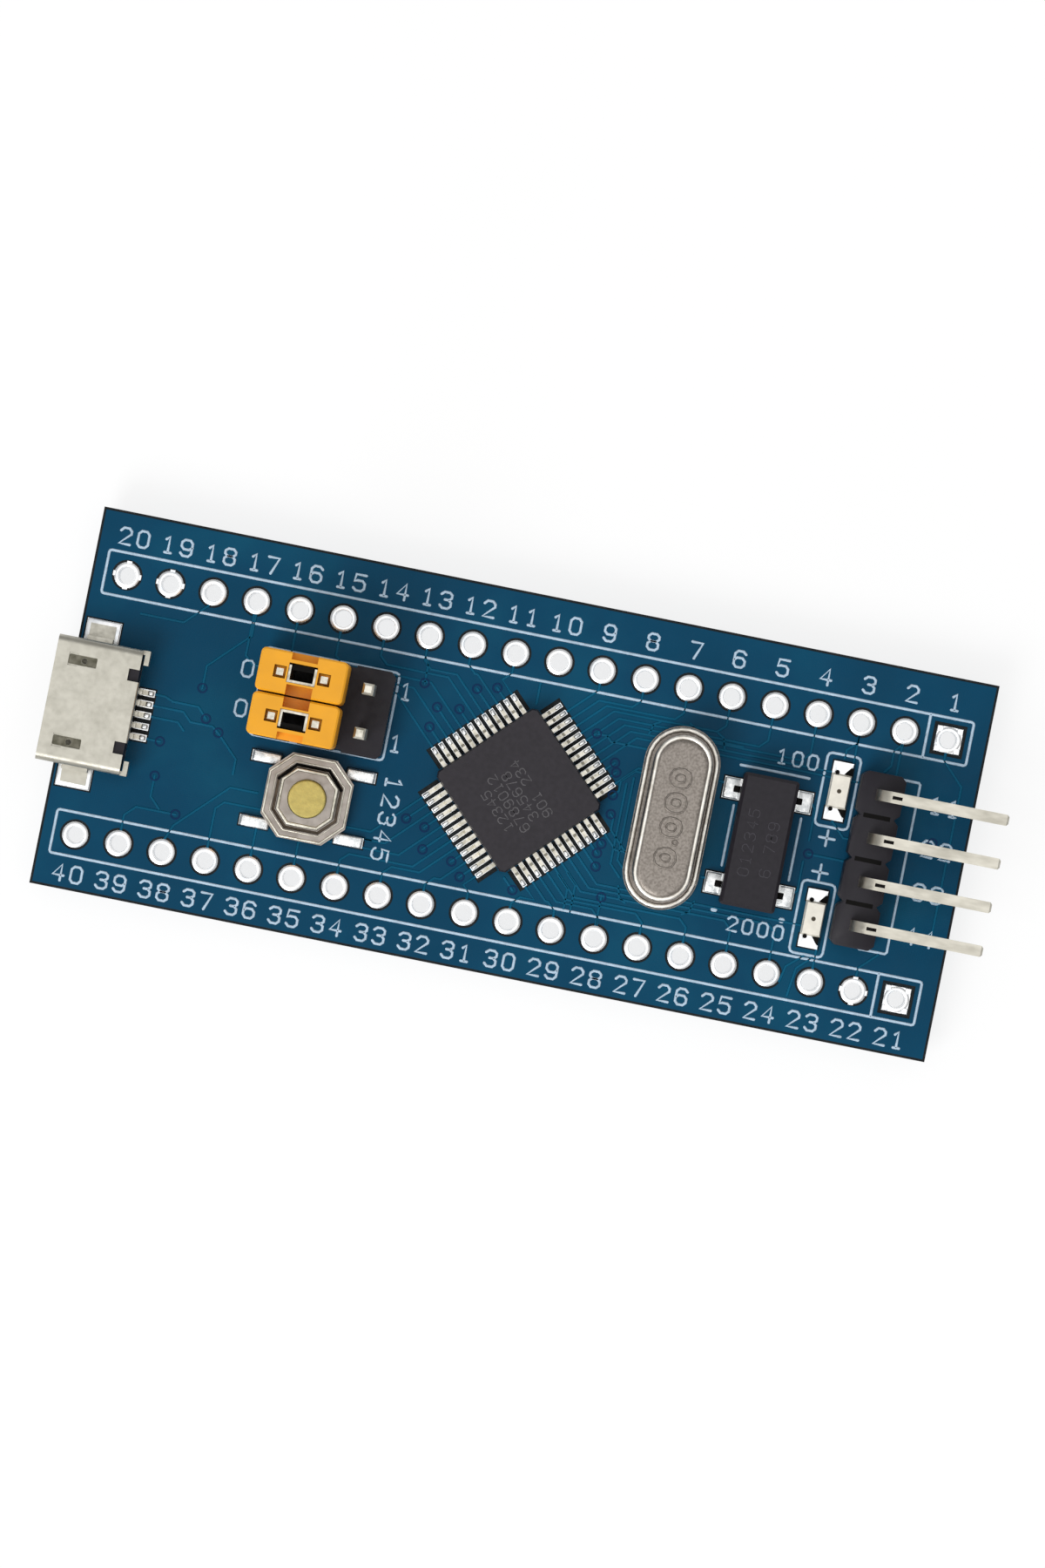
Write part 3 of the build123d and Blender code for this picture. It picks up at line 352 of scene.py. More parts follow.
def make_finishes():
    """Every finish of the board, by name."""
    colours = settings().colours
    made = {
        "mask": mask_finish("mask", colours.mask, colours.mask_light),
        "track": mask_finish("track", colours.track, shade(colours.track, 1.25)),
        "tin": metal_finish("tin", seen(222, 226, 230), seen(252, 252, 252), 0.34, 0.9, 0.006),
        "solder": metal_finish("solder", seen(186, 190, 192), seen(242, 243, 242), 0.32, 0.4, 0.02),
        "steel_shell": metal_finish(
            "steel_shell", seen(174, 171, 160), seen(186, 183, 172), 0.4, 0.9, 0.003
        ),
        "spring_metal": metal_finish(
            "spring_metal", seen(140, 133, 126), seen(160, 153, 146), 0.42, 0.9, 0.003
        ),
        "can_metal": metal_finish(
            "can_metal", seen(122, 115, 108), seen(150, 143, 136), 0.45, 0.14, 0.008
        ),
        "pin_metal": metal_finish(
            "pin_metal", seen(222, 214, 206), seen(250, 244, 238), 0.3, 0.6, 0.003, (0.3, 1, 1)
        ),
        # A paler copy of the can metal: painted highlights along the rims of the crystal can.
        "rim_highlight_metal": metal_finish(
            "rim_highlight_metal", seen(206, 200, 190), seen(240, 236, 228), 0.34, 0.7, 0.003
        ),
        "lead_metal": metal_finish(
            "lead_metal", seen(172, 168, 154), seen(214, 210, 198), 0.36, 0.4, 0.004
        ),
        "header_pin": metal_finish(
            "header_pin", seen(176, 172, 160), seen(202, 198, 186), 0.36, 0.6, 0.003, (0.3, 1, 1)
        ),
        "via": mask_finish("via", seen(8, 46, 84), seen(18, 54, 92)),
        "gold_plate": metal_finish("gold_plate", seen(196, 152, 60), seen(240, 200, 104), 0.25),
        "copper": metal_finish("copper", seen(170, 92, 56), seen(222, 140, 96), 0.35),
        "silicon": metal_finish("silicon", seen(70, 74, 84), seen(100, 104, 116), 0.2),
        "black_plastic": plastic_finish("black_plastic", seen(30, 27, 34), 0.45),
        "chip_plastic": plastic_finish("chip_plastic", seen(46, 43, 48), 0.55, 0.25, 0.01, 0.15),
        "clock_plastic": plastic_finish("clock_plastic", seen(36, 33, 39), 0.5, 0.3, 0.01, 0.12),
        "cap_plastic": plastic_finish(
            "cap_plastic", colours.cap, 0.38, 1.4, 0.006, 0.06, 0.3
        ),
        "button_plastic": plastic_finish("button_plastic", colours.button, 0.5, 0.35, 0.03, 0.12),
        "lamp_lens": plastic_finish("lamp_lens", colours.lens, 0.22, 0.5, 0.004, 0.06),
        "lamp_base": plastic_finish("lamp_base", seen(206, 202, 190), 0.5, 0.4),
        "die_dark": plastic_finish("die_dark", seen(66, 58, 44), 0.4, 0.2),
        "ceramic_tan": plastic_finish("ceramic_tan", seen(150, 118, 84), 0.4, 0.5, 0.008),
        "resistor_black": plastic_finish("resistor_black", seen(26, 26, 30), 0.25, 0.5, 0.004),
        "quartz": plastic_finish("quartz", seen(220, 226, 230), 0.1, 0.8, 0.002),
        "bead_glass": plastic_finish("bead_glass", seen(60, 96, 80), 0.15, 0.4, 0.002),
        "grey_mark": plastic_finish("grey_mark", seen(92, 90, 93), 0.6, 0.2, 0.01, 0.2),
        "clock_mark": plastic_finish("clock_mark", seen(64, 62, 68), 0.6, 0.2, 0.01, 0.2),
        # A darker copy of the shell steel: painted shade on the latch tabs in their windows.
        "latch_shade_metal": metal_finish(
            "latch_shade_metal", seen(84, 82, 70), seen(112, 109, 97), 0.45, 0.5, 0.004
        ),
        "shadow_black": plastic_finish(
            "shadow_black", seen(14, 13, 12), 0.7, 0.4, 0.006, 0.2, 0.1
        ),
        # Dull dark brown: painted shade in the groove of the reset switch's cover.
        "groove_painted_shade": plastic_finish("groove_painted_shade", seen(98, 86, 72), 0.6, 0.5, 0.006, 0.25),
    }
    ink = Finish("print_ink")
    ink.colour(
        ink.noise(0.35, 3), (0.3, shade(colours.print_ink, 0.8)), (0.62, colours.print_ink)
    )
    ink.gloss(ink.noise(0.3, 2), 0.5, 0.7).relief(ink.noise(0.07, 3), 0.012, 0.6)
    made["print_ink"] = ink
    laminate = Finish("laminate", specular_ior_level=0.15)
    laminate.colour(
        laminate.noise(0.25, 4, (1, 1, 3)),
        (0.3, shade(colours.laminate, 0.7)), (0.7, shade(colours.laminate, 1.6)),
    )
    laminate.gloss(laminate.noise(0.4), 0.45, 0.7).relief(laminate.weave(0.3), 0.015, 0.7)
    made["laminate"] = laminate
    return {name: finish.material for name, finish in made.items()}


FINISH = {}


# ---- making pieces ----
def add_piece(name, mesh, finish, body="board"):
    """Put a finished mesh in the scene, riding on a CAD body."""
    mesh.name = name
    mesh.materials.clear()
    mesh.materials.append(FINISH[finish])
    piece = bpy.data.objects.new(name, mesh)
    bpy.context.scene.collection.objects.link(piece)
    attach(piece, body)
    return piece


def closed_mesh(bm, smooth_below=35):
    """A bmesh in millimetres as a mesh in metres: merged, facing outwards, softly shaded."""
    bmesh.ops.remove_doubles(bm, verts=bm.verts, dist=1e-4)
    bmesh.ops.recalc_face_normals(bm, faces=bm.faces)
    limit = math.radians(smooth_below)
    for face in bm.faces:
        face.smooth = True
    for edge in bm.edges:
        edge.smooth = edge.is_manifold and edge.calc_face_angle(0) < limit
    bmesh.ops.scale(bm, vec=(MM, MM, MM), verts=bm.verts)
    mesh = bpy.data.meshes.new("piece")
    bm.to_mesh(mesh)
    bm.free()
    return mesh


def curve_mesh(lines, width=0.0, thickness=0.0):
    """Mesh, in millimetres, of flat lines: round ribbons, or a filled sheet at width 0."""
    curve = bpy.data.curves.new("line", "CURVE")
    curve.dimensions = "3D" if width else "2D"
    curve.bevel_depth = width / 2
    curve.bevel_resolution = 1
    curve.use_fill_caps = True
    if not width:
        curve.fill_mode = "BOTH"
        curve.extrude = thickness / 2
    for points, closed in lines:
        spline = curve.splines.new("POLY")
        spline.points.add(len(points) - 1)
        for target, point in zip(spline.points, points):
            target.co = (point[0], point[1], 0, 1)
            target.radius = point[2] if len(point) > 2 else 1
        spline.use_cyclic_u = closed
    holder = bpy.data.objects.new("line", curve)
    bpy.context.scene.collection.objects.link(holder)
    graph = bpy.context.evaluated_depsgraph_get()
    mesh = bpy.data.meshes.new_from_object(holder.evaluated_get(graph))
    bpy.data.objects.remove(holder)
    bpy.data.curves.remove(curve)
    return mesh


def rounded_ends(points, width):
    """An open line with its two ends drawn in to round tips."""
    first, last = Vector(points[0]), Vector(points[-1])
    start = (first - Vector(points[1])).normalized() * width / 2
    end = (last - Vector(points[-2])).normalized() * width / 2
    steps = ((1.0, 0.12), (0.78, 0.66), (0.4, 0.94))
    tip = [(*(first + start * out), share) for out, share in steps]
    tail = [(*(last + end * out), share) for out, share in reversed(steps)]
    return tip + [(*point, 1.0) for point in points] + tail


def ribbon_mesh(lines, width, rise, level, flip=1):
    """Flattened round ribbons lying on a level surface, in metres. flip -1 lies under it."""
    drawn = [
        (points, True) if closed else (rounded_ends(points, width), False)
        for points, closed in lines
    ]
    mesh = curve_mesh(drawn, width)
    flatten = Matrix.Diagonal((1, 1, 2 * rise / width, 1))
    mesh.transform(Matrix.Scale(MM, 4) @ Matrix.Translation((0, 0, level * flip)) @ flatten)
    for face in mesh.polygons:
        face.use_smooth = True
    return mesh


def box_line(low_x, low_y, high_x, high_y, corner=0.0):
    """A closed rectangle with cut corners, as one line."""
    if not corner:
        points = [(low_x, low_y), (high_x, low_y), (high_x, high_y), (low_x, high_y)]
        return points, True
    bend = corner * 0.3
    points = []
    for x, y, sx, sy in (
        (low_x, low_y, 1, 1), (high_x, low_y, -1, 1), (high_x, high_y, -1, -1),
        (low_x, high_y, 1, -1),
    ):
        three = [
            (x, y + sy * corner), (x + sx * bend, y + sy * bend), (x + sx * corner, y),
        ]
        points += three if sx == sy else three[::-1]
    return points, True


def ring_line(x, y, radius, steps=24):
    """A closed circle as one line."""
    turns = [2 * math.pi * step / steps for step in range(steps)]
    return [(x + radius * math.cos(t), y + radius * math.sin(t)) for t in turns], True


def pillow(bm, low, high, lean=0.25, soft=0.06, steps=2, turn=0.0, about=(0, 0, 0)):
    """A soft-edged lump that fills a box and narrows to its top, or its underside, by lean."""
    low, high = Vector(low), Vector(high)
    centre, size = (low + high) / 2, high - low
    part = bmesh.new()
    bmesh.ops.create_cube(part, size=1)
    for vert in part.verts:
        if vert.co.z * (1 if lean > 0 else -1) > 0:
            vert.co.x *= 1 - abs(lean)
            vert.co.y *= 1 - abs(lean)
    turned = Matrix.Rotation(turn, 4, "Z") @ Matrix.Translation(centre)
    place = Matrix.Translation(about) @ turned @ Matrix.Diagonal((*size, 1))
    bmesh.ops.transform(part, matrix=place, verts=part.verts)
    bmesh.ops.bevel(
        part, geom=part.edges[:], offset=soft, segments=steps, profile=0.5, affect="EDGES",
        material=-1,
    )
    stamp(bm, part, 0, 0)


def prism(bm, outline, low, high, soft=0.0):
    """A closed outline of (x, y) points raised from low to high, with its edges eased by soft."""
    part = bmesh.new()
    face = part.faces.new([part.verts.new((x, y, low)) for x, y in outline])
    made = bmesh.ops.extrude_face_region(part, geom=[face])
    raised = [item for item in made["geom"] if isinstance(item, bmesh.types.BMVert)]
    bmesh.ops.translate(part, vec=(0, 0, high - low), verts=raised)
    if soft:
        bmesh.ops.bevel(
            part, geom=part.edges[:], offset=soft, segments=2, profile=0.5, affect="EDGES",
            material=-1,
        )
    stamp(bm, part, 0, 0)


def spun(bm, profile, x, y, steps=24, closed=True):
    """A profile of (radius, height) points turned once about a vertical axis at x, y.

    A closed profile makes a ring, and an open one starts and ends on the axis.
    """
    part = bmesh.new()
    verts = [part.verts.new((radius, 0, z)) for radius, z in profile]
    edges = [part.edges.new(pair) for pair in zip(verts, verts[1:])]
    if closed:
        edges.append(part.edges.new((verts[-1], verts[0])))
    bmesh.ops.spin(
        part, geom=verts + edges, cent=(0, 0, 0), axis=(0, 0, 1), angle=2 * math.pi, steps=steps,
        use_merge=True,
    )
    stamp(bm, part, x, y)


def stamp(bm, part, x, y):
    """Add a small finished bmesh to a larger one, moved to x, y, and free it."""
    mesh = bpy.data.meshes.new("part")
    bmesh.ops.translate(part, vec=(x, y, 0), verts=part.verts)
    part.to_mesh(mesh)
    part.free()
    bm.from_mesh(mesh)
    bpy.data.meshes.remove(mesh)


# ---- numbers drawn with lines, on a grid 4 wide and 6 high ----
DIGITS = {
    "0": [([(1, 0), (3, 0), (4, 1.1), (4, 4.9), (3, 6), (1, 6), (0, 4.9), (0, 1.1)], True)],
    "1": [([(0.8, 4.9), (2, 6), (2, 0)], False), ([(0.9, 0), (3.1, 0)], False)],
    "2": [([(0, 4.9), (1, 6), (3, 6), (4, 5), (4, 3.9), (0, 0), (4, 0)], False)],
    "3": [
        ([(0, 5.1), (1, 6), (3, 6), (4, 5.2), (4, 4), (3, 3.2), (1.6, 3.2)], False),
        ([(3, 3.2), (4, 2.3), (4, 0.9), (3, 0), (1, 0), (0, 0.9)], False),
    ],
    "4": [([(3, 0), (3, 6), (0, 1.9), (4, 1.9)], False)],
    "5": [
        ([(4, 6), (0.3, 6), (0, 3.4), (1, 3.8), (3, 3.8), (4, 2.8), (4, 1), (3, 0), (1, 0),
          (0, 0.9)], False),
    ],
    "6": [
        ([(4, 5.1), (3, 6), (1, 6), (0, 4.9), (0, 1.1), (1, 0), (3, 0), (4, 1), (4, 2.5),
          (3, 3.5), (1, 3.5), (0, 2.6)], False),
    ],
    "7": [([(0, 6), (4, 6), (1.6, 0)], False)],
    "8": [
        ([(1, 3.2), (0, 4.1), (0, 5.1), (1, 6), (3, 6), (4, 5.1), (4, 4.1), (3, 3.2)], True),
        ([(1, 3.2), (0, 2.3), (0, 0.9), (1, 0), (3, 0), (4, 0.9), (4, 2.3), (3, 3.2)], True),
    ],
    "9": [
        ([(0, 0.9), (1, 0), (3, 0), (4, 1.1), (4, 4.9), (3, 6), (1, 6), (0, 5), (0, 3.5),
          (1, 2.5), (3, 2.5), (4, 3.4)], False),
    ],
    ".": [([(1.7, 0), (2.3, 0)], False)],
    "+": [([(0, 3), (4, 3)], False), ([(2, 5), (2, 1)], False)],
}


def number_lines(text, x, y, height, turn=0.0, advance=1.12, mirror=1):
    """The lines of a number centred at x, y, turned in degrees. mirror -1 suits the underside."""
    unit = height / 6
    step = height * advance
    start = -(len(text) - 1) / 2 * step
    spin = Matrix.Rotation(math.radians(turn), 2)
    lines = []
    for place, mark in enumerate(text):
        for points, closed in DIGITS.get(mark, []):
            drawn = []
            for across, up in points:
                local = Vector((start + place * step + (across - 2) * unit, (up - 3) * unit))
                local.x *= mirror
                spot = spin @ local
                drawn.append((x + spot.x, y + spot.y))
            lines.append((drawn, closed))
    return lines


LENS, SENSOR = 155, 36  # of the camera, which looks straight down
CAMERA_PLACE = (0.00057, 0.00031, 0.3905)  # metres
CAMERA_ROLL = 11.35  # degrees
WHITE = (1, 1, 1, 1)


# ---- operators: one for each piece or group of like pieces ----
class BOARD_OT_cad_finishes(bpy.types.Operator):
    """Give each CAD node its own finish"""

    bl_idname = "board.cad_finishes"
    bl_label = "CAD finishes"

    nodes_by_finish = {
        "laminate": ["circuit_board"],
        "tin": ["header_hole_pads", "top_lands", "underside_lands", "lamp_terminals"],
        "steel_shell": ["usb_shell"],
        "black_plastic": ["usb_insulator", "boot_header_block", "debug_header_block",
                          "reset_switch_base", "regulator_body"],
        "gold_plate": ["reset_switch_contacts"],
        "pin_metal": ["main_crystal_legs"],
        "header_pin": ["debug_header_pins"],
        "lead_metal": ["boot_header_pins", "microcontroller_leads", "usb_contact_springs",
                       "jumper_clip_upper", "jumper_clip_lower"],
        "solder": ["boot_header_solder", "debug_header_solder", "main_crystal_solder",
                   "reset_switch_leads", "clock_crystal_leads",
                   "regulator_leads", "capacitor_ends", "resistor_ends"],
        "cap_plastic": ["jumper_cap_upper", "jumper_cap_lower"],
        "spring_metal": ["reset_switch_cover", "reset_dome", "main_crystal_springs"],
        "button_plastic": ["reset_button"],
        "chip_plastic": ["microcontroller_body"],
        "silicon": ["microcontroller_die"],
        "copper": ["microcontroller_paddle"],
        "can_metal": ["main_crystal_base", "main_crystal_can"],
        "bead_glass": ["main_crystal_beads"],
        "quartz": ["quartz_blank"],
        "clock_plastic": ["clock_crystal_body"],
        "lamp_base": ["power_lamp_base", "user_lamp_base"],
        "lamp_lens": ["power_lamp_lens", "user_lamp_lens"],
        "ceramic_tan": ["capacitor_bodies"],
        "resistor_black": ["resistor_bodies"],
    }

    def execute(self, context):
        for finish, nodes in self.nodes_by_finish.items():
            for node in nodes:
                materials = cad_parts[node].data.materials
                materials.clear()
                materials.append(FINISH[finish])
        return {"FINISHED"}


class BOARD_OT_mask(bpy.types.Operator):
    """Lay the lacquer on both faces, open round every land and hole"""

    bl_idname = "board.mask"
    bl_label = "Mask"

    def openings(self, lands, margin, chip):
        """Closed lines round every ring, land, soldered pin and row of chip leads."""
        lines = []
        for x, y in RING_PLACES:
            reach = RING_RADIUS + margin + 0.05
            if abs(x - SQUARE_X) < PITCH / 2:
                reach += 0.06
                lines.append(box_line(x - reach, y - reach, x + reach, y + reach))
            else:
                lines.append(ring_line(x, y, reach))
        for low, high in lands:
            lines.append(
                box_line(low.x - margin, low.y - margin, high.x + margin, high.y + margin)
            )
        for spot in PIN_JOINTS:
            lines.append(ring_line(spot.x, spot.y, PIN_OPENING))
        if chip:
            for side in range(4):
                turn = Matrix.Rotation(CHIP_TURN + side * math.pi / 2, 2)
                corners = [
                    CHIP.xy + turn @ Vector(corner)
                    for corner in ((3.55, -3.15), (4.9, -3.15), (4.9, 3.15), (3.55, 3.15))
                ]
                lines.append((corners, True))
        return lines

    def execute(self, context):
        sizes = settings().sizes
        margin = sizes.mask_margin
        low, high = BOARD_LOW / MM, BOARD_HIGH / MM
        edge = sizes.mask_edge
        outline = box_line(low.x + edge, low.y + edge, high.x - edge, high.y - edge)
        grouped = self.grouped(PLAIN_LANDS)
        for name, lands, level, chip in (
            ("mask_top", grouped, BOARD_TOP + sizes.mask_thickness / 2, True),
            ("mask_under", UNDER_LANDS, -sizes.mask_thickness / 2, False),
        ):
            lines = [outline, *self.openings(lands, margin, chip)]
            mesh = curve_mesh(lines, thickness=sizes.mask_thickness)
            mesh.transform(Matrix.Scale(MM, 4) @ Matrix.Translation((0, 0, level)))
            add_piece(name, mesh, "mask")
        return {"FINISHED"}

    def grouped(self, boxes):
        """Lands nearer than the mask can part are opened together."""
        apart_x, apart_y = 0.3, 0.45
        groups = []
        for low, high in sorted(boxes, key=lambda box: (box[0].x, box[0].y)):
            for group in groups:
                near_x = low.x < group[1].x + apart_x and high.x > group[0].x - apart_x
                near_y = low.y < group[1].y + apart_y and high.y > group[0].y - apart_y
                if near_x and near_y:
                    for axis in range(2):
                        group[0][axis] = min(group[0][axis], low[axis])
                        group[1][axis] = max(group[1][axis], high[axis])
                    break
            else:
                groups.append([low.copy(), high.copy()])
        return groups


class BOARD_OT_tracks(bpy.types.Operator):
    """Draw the copper tracks and vias that show through the lacquer"""

    bl_idname = "board.tracks"
    bl_label = "Tracks"

    # which lead of a chip side runs to which hole, counted from the debug end, and on which level
    far_left = ((0, 10, 6.0), (2, 11, 6.0), (4, 12, 5.75), (5, 13, 5.5), (7, 14, 5.0),
                (9, 15, 4.5), (11, 16, 4.0))
    far_right = ((10, 8, 6.05), (9, 7, 5.9), (8, 6, 5.68), (7, 5, 5.46), (6, 4, 5.1),
                 (5, 3, 4.8), (4, 2, 4.5), (3, 1, 4.2))
    near_left = ((11, 10, -6.05), (9, 11, -6.0), (7, 12, -5.85), (6, 13, -5.6), (4, 14, -5.1),
                 (2, 15, -4.6), (0, 16, -4.1))
    near_right = ((0, 9, -6.1), (1, 8, -6.05), (2, 7, -5.95), (3, 6, -5.72), (4, 5, -5.5),
                  (5, 4, -5.1), (6, 3, -4.8), (7, 2, -4.5))
    side_vias = ((1, 1, 0.9), (1, 3, 1.5), (1, 6, 1.1), (1, 8, 1.9), (1, 10, 1.2), (0, 2, 0.8),
                 (0, 1, 0.55), (2, 1, 1.6), (2, 3, 1.0), (2, 5, 1.8), (2, 8, 0.8), (2, 10, 0.9),
                 (3, 8, 1.4), (3, 9, 0.8), (3, 10, 0.5))

    def toe(self, side, number):
        """Tip of a chip lead's land, and the way that it points."""
        turn = Matrix.Rotation(CHIP_TURN + side * math.pi / 2, 2)
        return CHIP.xy + turn @ Vector((TOE, lead_offset(number))), turn @ Vector((1, 0))

    def to_hole(self, side, number, hole, level):
        """A track from a lead, out to a level, along it, and up to a header hole."""
        start, way = self.toe(side, number)
        row = math.copysign(ROW_Y - RING_RADIUS + 0.1, level)
        goal_x = FAR_ROW[hole]
        rise = abs(level - start.y)
        bend = start + Vector((way.x, way.y)) / abs(way.y) * rise
        along = math.copysign(1, goal_x - bend.x)
        last = abs(row - level)
        cut = min(0.45, abs(goal_x - bend.x), last)
        entry = (goal_x - along * cut, level)
        up = level + math.copysign(cut, level)
        return [tuple(start), tuple(bend), entry, (goal_x, up), (goal_x, row)]

    def execute(self, context):
        sizes = settings().sizes
        lines, vias = [], []
        for side, plan in ((1, self.far_left), (0, self.far_right), (2, self.near_left),
                           (3, self.near_right)):
            for number, hole, level in plan:
                lines.append((self.to_hole(side, number, hole, level), False))
        for side, number, reach in self.side_vias:
            start, way = self.toe(side, number)
            end = start + way * reach
            lines.append(([tuple(start), tuple(end)], False))
            vias.append((end.x, end.y))
        legs = sorted(solids_of("main_crystal_solder"), key=lambda box: -box[0].y)
        for side, number, leg in ((0, 0, legs[0]), (3, 11, legs[1])):
            start, way = self.toe(side, number)
            goal = middle(leg)
            rise = abs(goal.y - start.y)
            bend = start + way / abs(way.y) * rise
            lines.append(([tuple(start), tuple(bend), (goal.x, goal.y)], False))
        crystal_low, crystal_high = node_box("main_crystal_base")
        for end, y in ((1, crystal_high.y), (-1, crystal_low.y)):
            for side, x in ((1, crystal_high.x), (-1, crystal_low.x)):
                bent = [(x - side * 0.5, y - end * 0.05), (x - side * 0.15, y - end * 0.25),
                        (x + side * 0.02, y - end * 0.9)]
                lines.append((bent, False))
        lines += [(points, False) for points in (
            [(-21.6, 1.2), (-20.6, 1.2), (-20.1, 1.0), (-18.6, 1.0), (-18.05, 0.4)],
            [(-21.6, 0.55), (-19.4, 0.55), (-18.9, 0.05), (-17.6, 0.05), (-17.2, -0.25)],
            [(-21.6, -0.1), (-19.6, -0.1), (-19.2, -0.5)], [(-21.6, -1.4), (-20.4, -1.4)],
            [(-18.6, 2.1), (-18.6, 3.4), (-16.4, 5.6), (-16.4, 6.9)],
            [(-17.2, -0.25), (-15.9, -1.55), (-15.9, -2.4)],
            [(-14.3, -3.2), (-15.9, -3.2), (-18.7, -6.0), (-19.05, -6.9)],
            [(-18.7, -5.35), (-21.0, -5.35), (-21.59, -5.95), (-21.59, -6.9)],
            [(-23.6, 2.4), (-23.6, 3.2)], [(-22.9, 5.6), (-20.4, 5.6), (-19.2, 6.8)],
            [(-20.3, -3.4), (-20.3, -4.6), (-19.7, -5.2)],
            [(6.45, 1.5), (6.45, -3.2), (7.1, -3.85)], [(6.8, 1.9), (6.8, -2.9), (7.3, -3.4)],
            [(5.8, 0.7), (6.1, 1.0), (6.1, 1.6), (6.8, 2.3), (7.4, 2.3)],
            [(5.9, -0.4), (6.1, -0.6), (6.1, -1.3), (7.4, -2.6)],
            [(11.7, 2.7), (12.7, 2.7)], [(11.7, -2.9), (12.7, -2.9)],
            [(9.4, 5.6), (10.4, 4.9), (12.6, 4.9)], [(16.9, 2.7), (17.4, 2.2), (17.4, 0.4)],
            [(16.8, -3.1), (17.3, -2.6), (17.3, -0.9)], [(17.5, -0.4), (19.9, -0.4), (20.3, -0.8)],
            [(18.5, 5.4), (18.5, 5.9), (19.05, 6.4), (19.05, 6.9)],
            [(18.5, 1.7), (19.3, 0.9), (20.2, 0.9)], [(18.4, -6.2), (17.5, -7.0), (17.3, -7.9)],
            [(18.9, -6.2), (18.1, -7.0), (17.9, -8.6)], [(21.6, -6.9), (21.6, -6.3), (22.6, -5.3)],
            [(22.4, -3.9), (24.9, -3.9), (25.4, -3.4), (25.4, 5.1), (24.13, 6.4), (24.13, 6.8)],
            [(22.4, -1.4), (24.4, -1.4)], [(22.4, 1.2), (24.0, 1.2), (24.4, 1.6)],
            [(20.9, 5.1), (21.2, 5.5), (21.2, 6.4), (21.59, 6.8)],
            [(4.2, 4.0), (4.8, 4.0), (5.1, 3.7), (7.4, 3.7)],
            [(3.6, -4.4), (4.3, -5.1), (4.3, -6.3)], [(4.1, -4.2), (4.7, -4.8), (4.7, -6.4)],
            [(6.3, -5.2), (6.3, -6.9)], [(-6.1, 4.9), (-6.1, 6.0), (-6.35, 6.4)],
            [(1.2, -5.8), (0.6, -5.2)], [(0.45, 5.0), (0.45, 6.2)], [(-7.3, -4.6), (-8.9, -4.6)],
        )]
        vias += [(-18.6, 2.1), (-18.05, 0.4), (-17.2, -0.25), (-18.7, -5.35), (4.2, 4.0),
                 (5.8, 0.7), (5.9, -0.4), (6.3, -5.2), (-6.1, 4.9), (17.5, -0.4), (1.2, -5.8),
                 (-20.3, -3.4), (-20.4, -1.4), (24.4, -1.4), (24.4, 1.6)]
        level = BOARD_TOP + sizes.mask_thickness
        mesh = ribbon_mesh(lines, sizes.track_width, sizes.track_rise, level)
        add_piece("tracks_top", mesh, "track")
        under = []
        far = SQUARE_X - 0.6
        for number, x in enumerate(FAR_ROW):
            for row, reach in ((1, 1.0), (-1, 1.3)):
                if (number * 7 + row) % 3:
                    lane = row * (5.2 - 0.32 * (number % 6))
                    slide = 2.2 + 0.6 * (number % 4)
                    bend = max(-far, min(far, x - slide * row))
                    under.append((
                        [(x, row * (ROW_Y - RING_RADIUS + 0.1)), (x, lane + row * 0.5),
                         (x - 0.5 * row, lane), (bend, lane),
                         (bend - reach * row, lane - reach * row)], False
                    ))
        mesh = ribbon_mesh(under, sizes.track_width, sizes.track_rise, sizes.mask_thickness, -1)
        add_piece("tracks_under", mesh, "track")
        for name, top in (("vias_top", level), ("vias_under", -sizes.mask_thickness)):
            bm = bmesh.new()
            up = 1 if top > 0 else -1
            for x, y in vias:
                profile = [(0.19, top - 0.02 * up), (0.21, top + 0.02 * up),
                           (0.29, top + 0.02 * up), (0.32, top - 0.02 * up)]
                spun(bm, profile, x, y, 16)
            add_piece(name, closed_mesh(bm), "via")
        return {"FINISHED"}


class BOARD_OT_rings(bpy.types.Operator):
    """Tin-dipped rings and linings of the header holes, on both faces"""

    bl_idname = "board.rings"
    bl_label = "Header rings"

    grounded = {1: (18, 19), -1: (1,)}  # holes from the debug end that join the copper round them

    def execute(self, context):
        dome = settings().sizes.ring_dome
        bm = bmesh.new()
        half, hole = RING_RADIUS, HOLE_RADIUS
        for x, y in RING_PLACES:
            square = abs(x - SQUARE_X) < PITCH / 2
            number = round((SQUARE_X - x) / PITCH)
            for level, up in ((SEAT, 1), (UNDER_SEAT, -1)):
                foot = level - BED * up
                profile = [
                    (hole - 0.01, foot), (hole + 0.02, level + dome * 0.7 * up),
                    (hole + 0.09, level + dome * up), (half - 0.08, level + dome * 0.8 * up),
                    (half, level), (half, foot),
                ]
                spun(bm, profile, x, y, 28)
                if square:
                    for sx in (1, -1):
                        for sy in (1, -1):
                            across = sorted((x + sx * 0.4, x + sx * half))
                            along = sorted((y + sy * 0.4, y + sy * half))
                            ends = sorted((foot, level + dome * 0.75 * up))
                            pillow(
                                bm, (across[0], along[0], ends[0]),
                                (across[1], along[1], ends[1]), 0.05 * up, 0.02, 1,
                            )
                elif number in self.grounded[1 if y > 0 else -1]:
                    ends = sorted((foot, level + dome * 0.6 * up))
                    for quarter in range(4):
                        pillow(
                            bm, (half - 0.1, -0.17, ends[0]), (half + 0.09, 0.17, ends[1]),
                            0.1 * up, 0.02, 1, quarter * math.pi / 2, (x, y, 0),
                        )
            lining = [
                (hole - 0.015, UNDER_SEAT), (hole - 0.015, SEAT), (hole + 0.005, SEAT),
                (hole + 0.005, UNDER_SEAT),
            ]
            spun(bm, lining, x, y, 28)
        add_piece("header_ring_tin", closed_mesh(bm), "tin")
        return {"FINISHED"}


